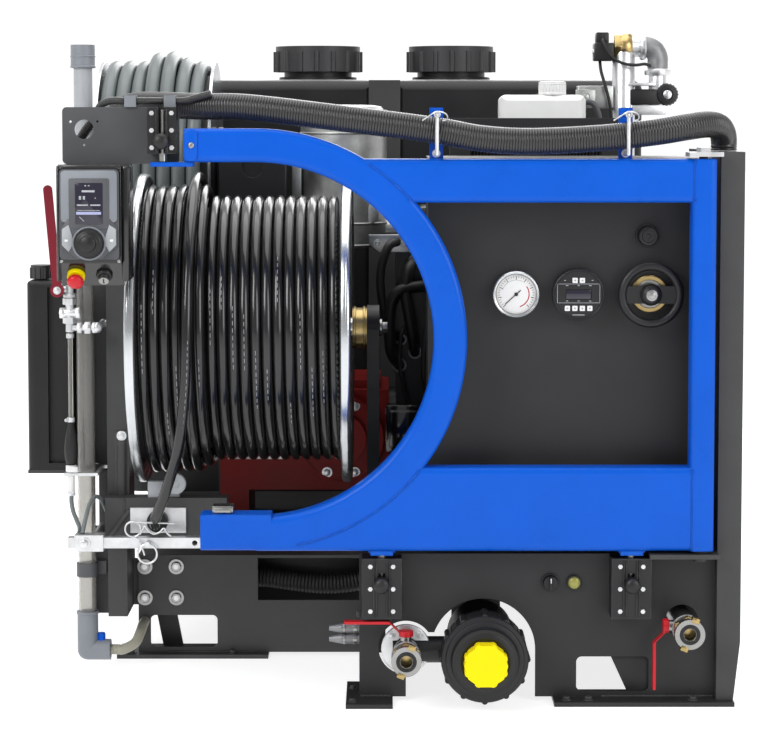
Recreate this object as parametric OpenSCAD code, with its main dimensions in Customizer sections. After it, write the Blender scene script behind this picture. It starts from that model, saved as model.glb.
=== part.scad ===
// Skid-mounted drain jetter: welded base, guarded hose reel, engine-driven pump and water tanks.
// Places are measured from the front face of the lower front panel (Y), the floor (Z) and the
// middle of the floor bolts (X). The whole model is then moved so that the floor bolts' centre is
// the origin. +X is the operator's right, -Y faces the operator, +Z is up.

/* [Base] */
// Thickness of the welded sheet plates
sheet_t = 6; // [4:0.5:8]
// Thickness of the foot plates
foot_t = 8; // [6:0.5:12]
// Radius of each floor bolt hole
floor_hole_r = 7; // [5:0.5:9]
// Distance between the floor bolts across the machine
floor_bolts_across = 1010; // [1000:1:1020]
// Distance between the floor bolts along the machine
floor_bolts_along = 1170; // [1150:1:1180]
// Depth of the front row of floor bolts behind the front panel
floor_front_y = 395; // [385:1:410]
// Width of the base plates that carry the machine
base_w = 1088; // [1080:1:1100]
// Length of the base behind the left base plate
base_len = 1245; // [1240:1:1300]
// Height of the deck above the floor
deck_z = 202; // [190:1:215]
// Width of the cut-out in each lower plate
cutout_w = 132; // [80:1:150]
// Height of the cut-out in each lower plate
cutout_h = 64; // [40:1:80]

/* [Lower front panel] */
// Top edge of the lower front panel
panel_top = 272; // [268:1:276]
// Radius of the arch round the water filter
arch_r = 95; // [90:1:100]
// Radius of the opening round the inlet valve
inlet_hole_r = 50; // [46:1:54]
// Radius of the hole round the outlet valve
outlet_hole_r = 30; // [28:1:36]

/* [Side column] */
// Width of the column
column_w = 43; // [38:1:50]
// Top of the column
column_top = 1002; // [998:1:1010]
// How far the column stands in front of the panel
column_front = 25; // [20:1:30]
// Depth of the column's side walls
column_depth = 445; // [430:1:460]

/* [Gate] */
// Depth of the gate tubes, front to back
gate_depth = 50; // [46:1:52]
// Clear gap between the gate and the front panel
gate_gap = 3; // [2:0.5:5]
// Rounding of the gate tubes' edges
gate_edge_r = 11; // [8:0.5:14]
// Radius of the half ring, to the middle of its tube
ring_r = 349; // [345:1:356]
// Width of the half ring's tube
ring_w = 60; // [58:1:68]
// Length of the straight tail at the top of the ring
top_tail = 125; // [115:1:135]
// Length of the straight tail at the bottom of the ring
bottom_tail = 100; // [85:1:110]
// Height of the gate's top rail
top_rail_h = 78; // [70:1:86]
// Top of the gate's top rail
gate_top = 990; // [988:1:992]
// Height of the gate's bottom rail
bottom_rail_h = 152; // [140:1:160]
// Bottom of the gate's bottom rail
gate_bottom = 285; // [284:0.5:287]
// Width of the gate's pivot post
gate_post_w = 44; // [40:1:46]
// Gap between the pivot post and the side column
gate_post_gap = 10; // [9:0.5:12]
// Radius of the gate's pivot pins
pivot_r = 8; // [6:0.5:10]
// Radial clearance of a turning or sliding fit
fit = 0.05; // [0.03:0.01:0.09]
// Clear gap between faces that move past each other
play = 0.3; // [0.3:0.05:0.6]
// Radius of the rods that keep the conduit in its cradles
keeper_r = 3.5; // [3:0.5:4]

/* [Slide bolts] */
// Radius of each slide bolt
bolt_r = 7.5; // [6:0.5:9]
// Width of the lower latch blocks
latch_w = 72; // [66:1:78]
// Height of the lower latch blocks
latch_h = 110; // [100:1:114]
// Width of the upper latch block
upper_latch_w = 52; // [46:1:60]
// Height of the upper latch block
upper_latch_h = 83; // [76:1:83]
// Radius of a slide bolt's knob
bolt_knob_r = 14; // [10:0.5:16]

/* [Pressure hose reel] */
// Radius of the reel's flanges
flange_r = 300; // [292:1:304]
// Thickness of a flange plate
flange_t = 6; // [4:0.5:8]
// Width over both flanges
reel_w = 406; // [404:1:408]
// Outer diameter of the pressure hose
hose_d = 20; // [18:0.5:20]
// Step from one turn of the pressure hose to the next
hose_pitch = 20.7; // [20.6:0.1:21]
// Radius of the inner winding, to the middle of the hose
wind_r = 247; // [244:1:250]
// Radius of the reel's shaft
shaft_r = 20; // [16:0.5:24]
// Radius of the brass swivel
swivel_r = 39; // [34:1:44]

/* [Reel post] */
// Width of the reel post
post_w = 37; // [34:1:40]
// Depth of the reel post, front to back
post_depth = 140; // [130:1:150]
// Top of the reel post
post_top = 990; // [980:1:1000]
// Foot of the reel post above the floor
post_foot = 102; // [96:1:110]

/* [Control head] */
// Width of the control box
box_w = 112; // [100:1:116]
// Front of the control box ahead of the panel
box_front = 60; // [56:1:70]
// Depth of the control box
box_depth = 82; // [76:1:92]
// Bottom of the control box
box_bottom = 762; // [750:1:770]
// Bottom edge of the top plate, which sits on the control box
top_plate_z = 980; // [976:1:984]
// Height of the top plate
top_plate_h = 102; // [90:1:110]
// Width of the top plate
top_plate_w = 210; // [205:1:214]
// Radius of the control knob
knob_r = 25; // [18:0.5:28]
// Radius of the emergency stop's mushroom head
stop_r = 14; // [12:0.5:15]

/* [Fill hose reel] */
// Outer diameter of the fill hose
fill_hose_d = 30; // [28:0.5:30]
// Step from one turn of the fill hose to the next
fill_pitch = 30.8; // [30.6:0.1:31.2]
// Radius of the fill hose winding, to the middle of the hose
fill_wind_r = 190; // [186:1:196]
// Radius of the fill reel's flanges
fill_flange_r = 200; // [197:1:210]
// Width over the fill reel's flanges
fill_w = 244; // [242:1:246]

/* [Tanks] */
// Width of a water tank
tank_w = 572; // [560:1:580]
// Height of a water tank
tank_h = 946; // [930:1:960]
// Gap between the two water tanks
tank_gap = 36; // [20:1:50]
// Radius of a tank lid
lid_r = 100; // [90:1:110]
// Height of a tank lid
lid_h = 60; // [50:1:70]
// Width of the fuel tank
fuel_w = 93; // [86:1:96]
// Length of the fuel tank
fuel_len = 380; // [350:1:400]
// Height of the fuel tank
fuel_h = 370; // [360:1:380]
// Height of the shelf under the fuel tank
fuel_shelf_z = 379; // [370:1:388]

/* [Engine and pump] */
// Width of the engine block
engine_w = 426; // [410:1:430]
// Length of the engine block
engine_len = 460; // [440:1:470]
// Height of the engine block
engine_h = 568; // [550:1:580]
// Height of the rails under the engine and the pump
mount_h = 80; // [70:1:86]
// Width of the pump's crankcase
pump_w = 354; // [340:1:358]
// Length of the pump's crankcase
pump_len = 240; // [220:1:250]
// Height of the pump's crankcase
pump_h = 230; // [210:1:240]
// Radius of the pump's round cover
pump_cover_r = 88; // [80:1:92]
// Radius of the exhaust silencer
silencer_r = 92; // [85:1:96]
// Height of the exhaust silencer
silencer_h = 290; // [270:1:300]
// Width of the radiator
radiator_w = 340; // [320:1:360]
// Depth of the radiator
radiator_depth = 70; // [60:1:80]
// Height of the radiator
radiator_h = 780; // [760:1:800]

/* [Instruments] */
// Radius of the pressure gauge
gauge_r = 42; // [34:1:44]
// Radius of the digital meter
meter_r = 47; // [40:1:50]
// Radius of the handwheel, to the middle of its rim
wheel_r = 52; // [46:1:54]
// Radius of the handwheel's rim section
wheel_rim_r = 8; // [6:0.5:9]
// Radius of the panel knob
panel_knob_r = 17; // [12:0.5:19]

/* [Pipes and hoses] */
// Outer diameter of the main conduit
conduit_d = 48; // [44:1:50]
// Wall of the main conduit
conduit_wall = 4; // [3:0.5:5]
// Depth of one rib of the main conduit
conduit_rib = 3; // [2:0.5:4]
// Outer diameter of the small conduit
small_conduit_d = 14; // [12:0.5:16]
// Outer diameter of the level tube
level_d = 34; // [30:1:36]
// Top of the level tube
level_top = 1201; // [1180:1:1220]
// Side of the square hose guide arm
arm_side = 20; // [16:1:22]
// Length of the hose guide arm
arm_len = 250; // [230:1:270]

/* [Hidden] */
$fn = 64;

// Places of the pieces across, along and above the machine
base_x = -486;
base_y = 355;
notch_x = -250;
notch_z = 112;
panel_x = -46;
filter_x = 180;
filter_z = 94;
inlet_x = 39;
inlet_z = 98;
outlet_x = 542;
outlet_z = 148;
switch_x = 302;
switch_z = 219;
lamp_step = 43;
column_x = 602;
ring_x = -231;
ring_z = 665;
mid_latch_x = -5;
right_latch_x = 445;
upper_latch_x = -396;
reel_x = -472;
reel_y = 330;
reel_z = 655;
post_x = -533;
post_y = 250;
box_x = -579;
fill_x = -606;
fill_y = 860;
fill_z = 982;
lid_x = 158;
fuel_x = -693;
engine_x = 24;
engine_y = 540;
pump_x = -345;
pump_y = 665;
inst_x = 80;
inst_y = 60;
inst_z = 742;
gauge_x = 240;
meter_x = 353;
wheel_x = 484;
level_x = -574;
level_y = 258;

// Overrun of every cut past the face that it opens
over = 1;
floor_y = floor_front_y + floor_bolts_along / 2;
panel_cut = [-over, sheet_t + over];
base_back = base_y + base_len;
base_end_x = base_x + base_w;

// Feet: plates under the base, as far as each one reaches from the plates that it carries
foot_lip = 24;
foot_overhang = 41;
foot_depth = 99;
left_foot_w = 298;
rear_foot_w = 150;
column_foot_w = 326;
centre_foot_w = 85;
centre_foot_depth = 175;
centre_foot_front = 60;
column_foot_front = 45;
leg_top_w = 40;
leg_lean = 36;
cutout_sill = 10;
rim_h = 72;
open_z = [foot_t - over, deck_z - rim_h];
left_cutout_share = 0.18;
left_cutout_x = base_x + cutout_w * left_cutout_share;
right_cutout_x = 350;

// Gate
gate_back = -gate_gap;
gate_front = gate_back - gate_depth;
gate_y = gate_back - gate_depth / 2;
gate_ys = [gate_front, gate_back];
gate_end_x = column_x - gate_post_gap;
pivot_x = gate_end_x - gate_post_w / 2;
pivot_plate_t = 8;
pivot_plate_w = 61;
pivot_plate_long = 125;
pivot_plate_back = 40;
pivot_plate_lip = 5;
pivot_depth = 32;
washer_r = 2 * pivot_r;
lug_t = 8;
lug_w = 41;
lug_depth = 40;
lug_hole_r = bolt_r * 1.15;
top_lug_w = 76;
shelf_w = 128;
shelf_t = 6;
cradle_x = [93, 432];
cradle_w = 25;
cradle_t = 8;
cradle_h = 91;
keeper_y = -66;
keeper_zs = [gate_top + 2 * keeper_r + keeper_r / 2, gate_top + cradle_h - 3.5 * keeper_r];

// Slide bolts
latch_depth = 46;
latch_top_gap = 1;
bolt_gap = 1;
bolt_travel = 14;
bolt_len = 95;
upper_bolt_len = 92;
bolt_knob_h = 16;
stem_r = 5;
bolt_knob_drop = 52;
upper_knob_rise = 36;
channel_w = 12;
screw_r = 4.5;
screw_h = 3;
screw_columns_share = 0.57;
screw_rows_share = 0.37;

// Pressure hose reel
rings_per_turn = 20;
hose_sides = 6;
wind_clear = 0.6;
layer_rise = hose_d * 1.1;
wind_split_share = 0.7;
reel_end_x = reel_x + reel_w;
wind_start_x = reel_end_x - flange_t - hose_d / 2 - wind_clear;
wind_end_x = reel_x + flange_t + hose_d / 2 + wind_clear;
low_turns = floor((wind_start_x - wind_end_x) * wind_split_share / hose_pitch);
high_turns = floor((wind_start_x - wind_end_x) / hose_pitch) - low_turns;
chord_share = cos(180 / rings_per_turn);
core_r = wind_r * chord_share - hose_d / 2 - wind_clear;
high_core_r = core_r + layer_rise;
core_step_x = wind_start_x - (low_turns + 1) * hose_pitch - hose_d / 2;
flange_rim_r = 7;
swivel_w = 28;
swivel_gap = 4;
pedestal_w = 24;
pedestal_depth = 80;
pedestal_head_r = 44;

// Reel post
post_end_x = post_x + post_w;
post_back = post_y + post_depth;
splice_w = 143;
splice_h = 92;
left_leg_w = 33;
left_leg_y = 282;
left_leg_h = 171;
beam_w = 233;
beam_depth = 44;
beam_z = 262;
beam_h = 78;
control_arm_z = 860;
control_arm_h = 40;

// Control head
box_back = box_depth - box_front;
box_slope = 43;
display_t = 12;
display_w = 106;
display_h = 160;
display_rise = 8;
knob_h = 18;
knob_drop = 51;
collar_r = 16;
collar_h = 8;
stop_stem_r = 9;
stop_travel = 5;
stop_head_h = 12;
button_shares = [0.25, 0.7];
stop_x = box_x + box_w * button_shares[0];
key_x = box_x + box_w * button_shares[1];
key_r = 13;
key_h = 10;
key_bezel_h = 6;
top_hole_r = 17.5;
top_hole_x = -540;
top_hole_z = 1042;

// Fill reel
fill_turns = 6.5;
fill_end_x = fill_x + fill_w;
fill_core_r = fill_wind_r * chord_share - fill_hose_d / 2 - wind_clear;
fill_axle_r = 20;
fill_stand_t = 10;
fill_stand_gap = 4;
fill_stand_depth = 120;

// Tanks
tank_inset = 4;
tank_clear = 60;
tank_y = fill_y + fill_wind_r + fill_hose_d + tank_clear;
tank_len = base_back - tank_inset - tank_y;
lid_y = tank_y + tank_len / 2;
tank_soft_r = 30;
neck_r = 80;
neck_h = 42;
lid_gap = 22;
lid_wall = 6;
fuel_soft_r = 14;
fuel_y = 300;
fuel_groove_w = 38;
fuel_groove_depth = 12;
fuel_neck_r = 14;
fuel_neck_h = 12;
fuel_cap_r = 20.5;
fuel_cap_h = 26;
fuel_cap_gap = 2;
fuel_cap_inset = 25;
fuel_cap_y = 332;
fuel_cap_x = fuel_x + fuel_cap_inset;

// Engine, pump and cooling
machine_z = deck_z + mount_h;
rail_w = 60;
bell_r = 95;
air_box_size = [136, 220, 98];
air_box_z = 897;
air_duct_r = 22;
silencer_inset = 4;
silencer_x = pump_x + pump_w - silencer_r - silencer_inset;
silencer_y = 785;
silencer_z = 790;
exhaust_r = 25;
exhaust_rise = 34;
pump_cover_t = 18;
pump_cover_x = -91;
pump_cover_rise = 110;
pump_head_h = 120;
radiator_x = 130;
radiator_y = 430;
radiator_foot = 40;
bottle_w = 173;
bottle_h = 46;
bottle_inset = 2;
bottle_x = 227;
bottle_soft_r = 18;
bottle_cap_r = 27;
bottle_cap_h = 26;

// Water filter and valves
filter_r = 62;
filter_len = 190;
filter_front = 40;
filter_ring_r = 82;
filter_ring_w = 36;
plug_r = 39;
plug_h = 30;
pipe_r = 24;
inlet_y = -34;
inlet_ball_r = 24;
coupling_r = 24;
coupling_len = 46;
coupling_bore_r = 11;
coupling_bore = 36;
claw_r = 27;
claw_w = 9;
inlet_lever_len = 112;
lever_t = 5;
lever_rise = 18;
lever_w = 17;
lever_hub_r = 13;
lever_hub_h = 10;
outlet_r = 20;
outlet_front = 62;
outlet_lever_len = 116;
outlet_stem = 14;
outlet_stem_x = outlet_x - outlet_r - outlet_stem;
outlet_stem_y = -40;

// Instruments
gauge_t = 26;
meter_t = 30;
wheel_shaft_r = 8;
wheel_hub_r = 16;
wheel_hub_h = 18;
wheel_y = 26;
panel_knob_x = 480;
panel_knob_z = 848;
panel_knob_h = 24;
inst_return = 234;
switch_r = 13;
switch_h = 14;
switch_bezel_h = 4;

// Pipes
level_wall = 3;
level_bore_r = level_d / 2 - level_wall;
level_z = 66;
collar_over = 6;
level_collar_h = 44;
elbow_z = 36;
elbow_r = 20;
elbow_reach = 44;
clip_t = 3.5;
clip_z = 180;
clip_h = 26;
drain_r = 10;
fitting_x = -596;
fitting_y = 205;
drain_valve_x = -617;
fitting_z = 666;
fitting_r = 8;
bulb_r = 13;
bulb_h = 78;
bulb_z = 402;
bulb_line_r = 5;
drain_valve_z = 738;
drain_lever_len = 190;
drain_lever_lean = 16;
nozzle_r = 9;
nozzle_h = 56;
nozzle_y = 40;
nozzle_z = 106;
arm_y = 125;
arm_z = 270;
arm_x = -592;
sleeve_w = 54;
sleeve_wall = 5;
sleeve_x = -579;
holder_w = 106;
holder_h = 48;
holder_x = -484;
holder_z = 274;
holder_ring_r = 20;
conduit_ribs = 72;
sol_x = 492;
sol_y = 620;
sol_z = 1182;
sol_pipe_r = 26;
sol_coil = [41, 50, 60];
sol_drop = 114;
splice_bolt_x = -442;
splice_bolt_step = 62;
splice_bolt_r = 10;
splice_bolt_h = 7;

// Route of the main conduit, from the top of the reel post to the top of the side column
conduit_route = [
  [-514, 320, 990], [-514, 320, 1010], [-514, 320, 1030], [-508, 276, 1072], [-466, 160, 1086],
  [-404, 66, 1086], [-330, 22, 1083], [-242, -8, 1081], [-62, -32, 1060], [93, -37, 1040],
  [172, -37, 1026], [262, -37, 1021], [388, -37, 1027], [480, -35, 1037], [538, -22, 1046],
  [580, 4, 1051], [605, 34, 1047], [618, 60, 1034], [622, 72, 1019], [622, 72, 1011], [622, 72, 1003]
];
// Route of the small conduit, from the control box over the top plate
small_route = [
  [-519, 16, 980], [-519, 16, 1000], [-519, 16, 1020], [-517, 16, 1074], [-498, 9, 1092],
  [-456, 3, 1093], [-364, 3, 1093], [-340, -2, 1098], [-310, -9, 1106]
];
// Route of the free pressure hose, over the winding and down to its holder
hose_route = [
  [-361, 536, 862], [-361, 450, 922], [-361, 390, 942], [-361, 330, 948], [-361, 270, 942],
  [-361, 210, 922], [-361, 124, 862], [-361, 76, 801], [-361, 47, 730], [-362, 37, 655],
  [-366, 38, 560], [-378, 46, 460], [-402, 66, 380], [-424, 98, 324], [-431, 140, 300],
  [-431, 180, 298]
];
hose_end = hose_route[len(hose_route) - 1];
// Route of the drain hose, from the level tube's elbow to the left base plate
drain_route = [
  [-530, 258, 36], [-518, 258, 36], [-506, 258, 36], [-484, 270, 46], [-476, 292, 62], [-474, 315, 70],
  [-474, 335, 70], [-474, 355, 70]
];

// Two ends on either side of a middle, and two ends counted from one place
function about(c, half) = [c - half, c + half];
function from(c, a, b) = [c + a, c + b];

// A block between two ends along each axis
module slab(x, y, z) {
  translate([x[0], y[0], z[0]])
    cube([x[1] - x[0], y[1] - y[0], z[1] - z[0]]);
}

// Round bars along each axis
module rod_x(x, y, z, r) {
  translate([x[0], y, z])
    rotate([0, 90, 0])
      cylinder(r = r, h = x[1] - x[0]);
}

module rod_y(x, y, z, r) {
  translate([x, y[1], z])
    rotate([90, 0, 0])
      cylinder(r = r, h = y[1] - y[0]);
}

module rod_z(x, y, z, r) {
  translate([x, y, z[0]])
    cylinder(r = r, h = z[1] - z[0]);
}

// A rectangle with round corners, centred
module round_rect(w, h, r) {
  difference() {
    square([w, h], center = true);
    for (i = [-1, 1], j = [-1, 1])
      translate([i * (w / 2 - r), j * (h / 2 - r)])
        difference() {
          translate([i < 0 ? -r - over : 0, j < 0 ? -r - over : 0])
            square(r + over);
          circle(r);
        }
  }
}

// A bar of round-cornered tube along X, from its lower corner
module tube_x(x, y, z, r) {
  translate([x[0], (y[0] + y[1]) / 2, (z[0] + z[1]) / 2])
    rotate([0, 90, 0])
      linear_extrude(x[1] - x[0])
        round_rect(z[1] - z[0], y[1] - y[0], r);
}

module tube_z(x, y, z, r) {
  translate([(x[0] + x[1]) / 2, (y[0] + y[1]) / 2, z[0]])
    linear_extrude(z[1] - z[0])
      round_rect(x[1] - x[0], y[1] - y[0], r);
}

module tube_y(x, y, z, r) {
  translate([(x[0] + x[1]) / 2, y[1], (z[0] + z[1]) / 2])
    rotate([90, 0, 0])
      linear_extrude(y[1] - y[0])
        round_rect(x[1] - x[0], z[1] - z[0], r);
}

// A moulded body with soft edges all round, but for its flat underside
module soft_block(x, y, z, r) {
  xs = [x[0] - over, x[1] + over];
  ys = [y[0] - over, y[1] + over];
  intersection() {
    tube_z(x, y, [z[0], z[1] + over], r);
    tube_x(xs, ys, [z[0] - 2 * r, z[1]], r);
    tube_y(xs, ys, [z[0] - 2 * r, z[1] + over / 2], r);
  }
}

// A six-sided bolt head, facing the operator
module bolt_head_y(x, y, z, r, h) {
  translate([x, y, z])
    rotate([90, 0, 0])
      cylinder(r = r, h = h, $fn = 6);
}

// Curves through hand-placed points, and tubes swept along them
function unit(v) = v / norm(v);
function square_to(v, t) = unit(v - (v * t) * t);
function spline(a, b, c, d, t) =
  (2 * b + (c - a) * t + (2 * a - 5 * b + 4 * c - d) * t * t
    + (3 * b - a - 3 * c + d) * t * t * t) / 2;
function route_point(route, u) =
  let (i = min(floor(u), len(route) - 2), b = route[i], c = route[i + 1])
  let (a = i > 0 ? route[i - 1] : 2 * b - c)
  let (d = i < len(route) - 2 ? route[i + 2] : 2 * c - b)
  spline(a, b, c, d, u - i);
function route_len(route) =
  let (last = len(route) - 1)
  [for (i = 0, s = 0; i <= last; i = i + 1, s = s + norm(route[min(i, last)] - route[i - 1])) s];
function along(route, s) =
  let (steps = route_len(route))
  let (i = max([for (k = [0 : len(route) - 2]) if (steps[k] <= s) k]))
  route_point(route, i + min(1, (s - steps[i]) / (steps[i + 1] - steps[i])));
function even_path(route, count) =
  let (total = max(route_len(route)))
  [for (i = [0 : count - 1]) along(route, total * i / (count - 1))];
function tangents(p) =
  [for (i = [0 : len(p) - 1]) unit(p[min(i + 1, len(p) - 1)] - p[max(i - 1, 0)])];
function normals(t, first) =
  let (last = len(t) - 1)
  [for (i = 0, n = square_to(first, t[0]); i <= last; i = i + 1, n = square_to(n, t[min(i, last)])) n];
function ring(p, t, n, r, sides) =
  let (u = square_to(n, t), v = cross(t, u))
  [for (k = [0 : sides - 1]) p + r * (cos(360 * k / sides) * u + sin(360 * k / sides) * v)];
function rings(path, radii, first, sides) =
  let (t = tangents(path), n = normals(t, first))
  [for (i = [0 : len(path) - 1]) ring(path[i], t[i], n[i], radii[i], sides)];
function flat(lists) = [for (list = lists) each list];
function wall(count, sides, base, out) =
  [for (i = [0 : count - 2], k = [0 : sides - 1])
    let (a = base + i * sides + k, b = base + i * sides + (k + 1) % sides)
    each out ? [[a, a + sides, b], [b, a + sides, b + sides]]
        : [[a, b, a + sides], [b, b + sides, a + sides]]];
function fan(base, sides, out) =
  [for (k = [1 : sides - 2]) out ? [base, base + k, base + k + 1] : [base, base + k + 1, base + k]];
function rim(outer, inner, sides, out) =
  [for (k = [0 : sides - 1])
    let (m = (k + 1) % sides)
    each out ? [[outer + k, outer + m, inner + k], [outer + m, inner + m, inner + k]]
        : [[outer + k, inner + k, outer + m], [outer + m, inner + k, inner + m]]];

// A solid round tube along a path
module cord(path, r, sides, first) {
  radii = [for (p = path) r];
  polyhedron(
    points = flat(rings(path, radii, first, sides)),
    faces = concat(
      wall(len(path), sides, 0, true),
      fan(0, sides, true),
      fan((len(path) - 1) * sides, sides, false)
    )
  );
}

// A hose with a bore, whose outside follows one list of radii
module hose(path, radii, bore_path, bore_r, sides, first) {
  bore_radii = [for (p = bore_path) bore_r];
  outer = len(path) * sides;
  polyhedron(
    points = concat(
      flat(rings(path, radii, first, sides)),
      flat(rings(bore_path, bore_radii, first, sides))
    ),
    faces = concat(
      wall(len(path), sides, 0, true),
      wall(len(bore_path), sides, outer, false),
      rim(0, outer, sides, true),
      rim(outer - sides, outer + (len(bore_path) - 1) * sides, sides, false)
    )
  );
}

// Turns of hose round an axis along X, with a straight end on each side
function turn_point(x, r, a, y, z) = [x, y - r * cos(a), z + r * sin(a)];
function wound(x, r, angles, y, z) =
  let (points = [for (i = [0 : len(angles) - 1]) turn_point(x[i], r[i], angles[i], y, z)])
  let (last = len(points) - 1)
  let (head = unit(points[0] - points[1]), tail = unit(points[last] - points[last - 1]))
  concat([points[0] + hose_d * head], points, [points[last] + hose_d * tail]);
function least_gap(path, per_turn, d) =
  min([for (i = [0 : len(path) - per_turn - 2], j = [per_turn - 1 : per_turn + 1])
    norm(path[i] - path[i + j]) - d]);

// Base: welded plates, deck and feet
module slanted_leg(x, y) {
  translate([x, y + sheet_t, 0])
    rotate([90, 0, 0])
      linear_extrude(sheet_t)
        polygon([
          [0, foot_t],
          [leg_top_w, foot_t],
          [leg_top_w - leg_lean, deck_z - sheet_t],
          [-leg_lean, deck_z - sheet_t]
        ]);
}

module foot(x, y) {
  slab(x, y, [0, foot_t]);
}

module cutout(x, y) {
  tube_y([x, x + cutout_w], y, from(foot_t + cutout_sill, 0, cutout_h), cutout_sill);
}

module chassis() {
  low = foot_t;
  plate = [base_y - over, base_y + sheet_t + over];
  left_foot = [base_x - foot_overhang, base_x - foot_overhang + left_foot_w];
  color("#3c4042")
    difference() {
      union() {
        slab([base_x, panel_x], [base_y, base_y + sheet_t], [low, deck_z]);
        slab([base_x, base_x + sheet_t], [base_y + 3 * sheet_t, base_back], [low, deck_z]);
        slab([base_end_x - sheet_t, base_end_x], [base_y, base_back], [low, deck_z]);
        slab([base_x, base_end_x], [base_back - sheet_t, base_back], [low, deck_z]);
        slab([base_x, base_end_x], [base_y, base_back], [deck_z - sheet_t, deck_z]);
        foot(left_foot, [base_y - foot_lip, base_y - foot_lip + foot_depth]);
        foot([left_foot[0], left_foot[0] + rear_foot_w], [base_back - foot_depth, base_back]);
        foot([base_end_x - rear_foot_w, base_end_x], [base_back - foot_depth, base_back]);
        foot([base_end_x - rear_foot_w, base_end_x], [base_y, base_y + foot_depth]);
        slab(
          about(0, tank_gap),
          from(tank_y, -sheet_t * 1.5, -sheet_t / 2),
          from(deck_z, -sheet_t, tank_h)
        );
        slanted_leg(left_cutout_x + leg_lean / 2, base_y + foot_depth - foot_lip - sheet_t);
        slanted_leg(base_end_x - rear_foot_w + leg_lean, base_y + foot_depth - sheet_t);
      }
      slab([notch_x, panel_x + over], plate, [notch_z, deck_z - sheet_t]);
      cutout(left_cutout_x, plate);
      slab([base_x - over, base_end_x + over], [base_y + foot_depth, base_back - foot_depth], open_z);
      slab([base_x + rear_foot_w, base_end_x - rear_foot_w], from(base_back, -foot_depth, over), open_z);
      for (i = [-1, 1], j = [0, 1])
        rod_z(
          i * floor_bolts_across / 2,
          floor_front_y + j * floor_bolts_along,
          [-over, foot_t + over],
          floor_hole_r
        );
    }
}

// Box behind the lower front panel, with the openings for the water fittings
module lower_front_panel() {
  low = foot_t;
  riser_y = base_y - sheet_t;
  color("#3c4042") {
    difference() {
      slab([panel_x, column_x], [0, base_y], [low, panel_top]);
      slab([panel_x + sheet_t, column_x - sheet_t], [sheet_t, riser_y], [low - over, panel_top - sheet_t]);
      rod_y(filter_x, panel_cut, filter_z, arch_r);
      slab([filter_x - arch_r, filter_x + arch_r], panel_cut, [low - over, filter_z]);
      rod_y(inlet_x, panel_cut, inlet_z, inlet_hole_r);
      slab([inlet_x, filter_x], panel_cut, [low - over, inlet_z + pipe_r * 1.2]);
      rod_y(outlet_x, panel_cut, outlet_z, outlet_hole_r);
      rod_y(switch_x, panel_cut, switch_z, switch_r / 2 + fit);
      cutout(right_cutout_x, panel_cut);
      for (x = [[panel_x, filter_x], [filter_x, outlet_x]])
        slab([x[0] + 2 * pipe_r, x[1] - 2 * pipe_r], [riser_y - over, base_y + over], open_z);
    }
    foot([column_x + column_w - foot_lip / 2 - column_foot_w, column_x + column_w - foot_lip / 2],
      [-column_foot_front, foot_depth - column_foot_front]);
    foot([panel_x - foot_lip, panel_x - foot_lip + centre_foot_w],
      [-centre_foot_front, centre_foot_depth - centre_foot_front]);
    rod_y(switch_x + lamp_step, [-switch_bezel_h, 0], switch_z, switch_r);
  }
}

// Folded channel at the right front corner, tapered near its foot
module column_part(inset, ys, low) {
  right = column_x + column_w - inset;
  translate([0, ys[1], 0])
    rotate([90, 0, 0])
      linear_extrude(ys[1] - ys[0])
        polygon([
          [column_x + inset, low],
          [right - foot_lip / 2, low],
          [right, foot_t + column_w * 2.5],
          [right, column_top - inset],
          [column_x + inset, column_top - inset]
        ]);
}

module side_column() {
  back = column_depth - column_front;
  color("#3c4042")
    difference() {
      column_part(0, [-column_front, back], foot_t);
      column_part(sheet_t, [sheet_t - column_front, back + over], foot_t - over);
    }
}

module instrument_panel() {
  color("#2b2e30")
    difference() {
      slab([inst_x, column_x], [inst_y, inst_y + inst_return], [panel_top, gate_top]);
      slab(
        [inst_x + sheet_t, column_x + over],
        [inst_y + sheet_t, inst_y + inst_return + over],
        [panel_top - over, gate_top - sheet_t]
      );
      rod_y(wheel_x, [inst_y - over, inst_y + sheet_t + over], inst_z, wheel_shaft_r + fit);
      rod_y(panel_knob_x, [inst_y - over, inst_y + sheet_t + over], panel_knob_z, panel_knob_r / 3 + fit);
    }
}

// Plates and pins that the gate turns on
module gate_pivots() {
  low_top = panel_top + pivot_plate_t;
  high = column_top - pivot_plate_t;
  color("#6d7173") {
    slab([column_x - pivot_plate_w, column_x], [gate_front - pivot_plate_lip, 0], [high, column_top]);
    rod_z(pivot_x, gate_y, [gate_top - pivot_depth + gate_gap, column_top], pivot_r);
    translate([pivot_x, gate_y, column_top])
      cylinder(r = pivot_r * 1.6, h = pivot_r, $fn = 6);
    slab(
      [column_x - pivot_plate_long, column_x],
      [gate_front - pivot_plate_lip, pivot_plate_back],
      [panel_top, low_top]
    );
    rod_z(pivot_x, gate_y, [panel_top - pivot_r, gate_bottom + pivot_depth - gate_gap], pivot_r);
    rod_z(pivot_x, gate_y, [low_top, gate_bottom - play], washer_r);
    rod_z(pivot_x, gate_y, [panel_top - pivot_r, panel_top], pivot_r * 1.6);
  }
}

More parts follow.
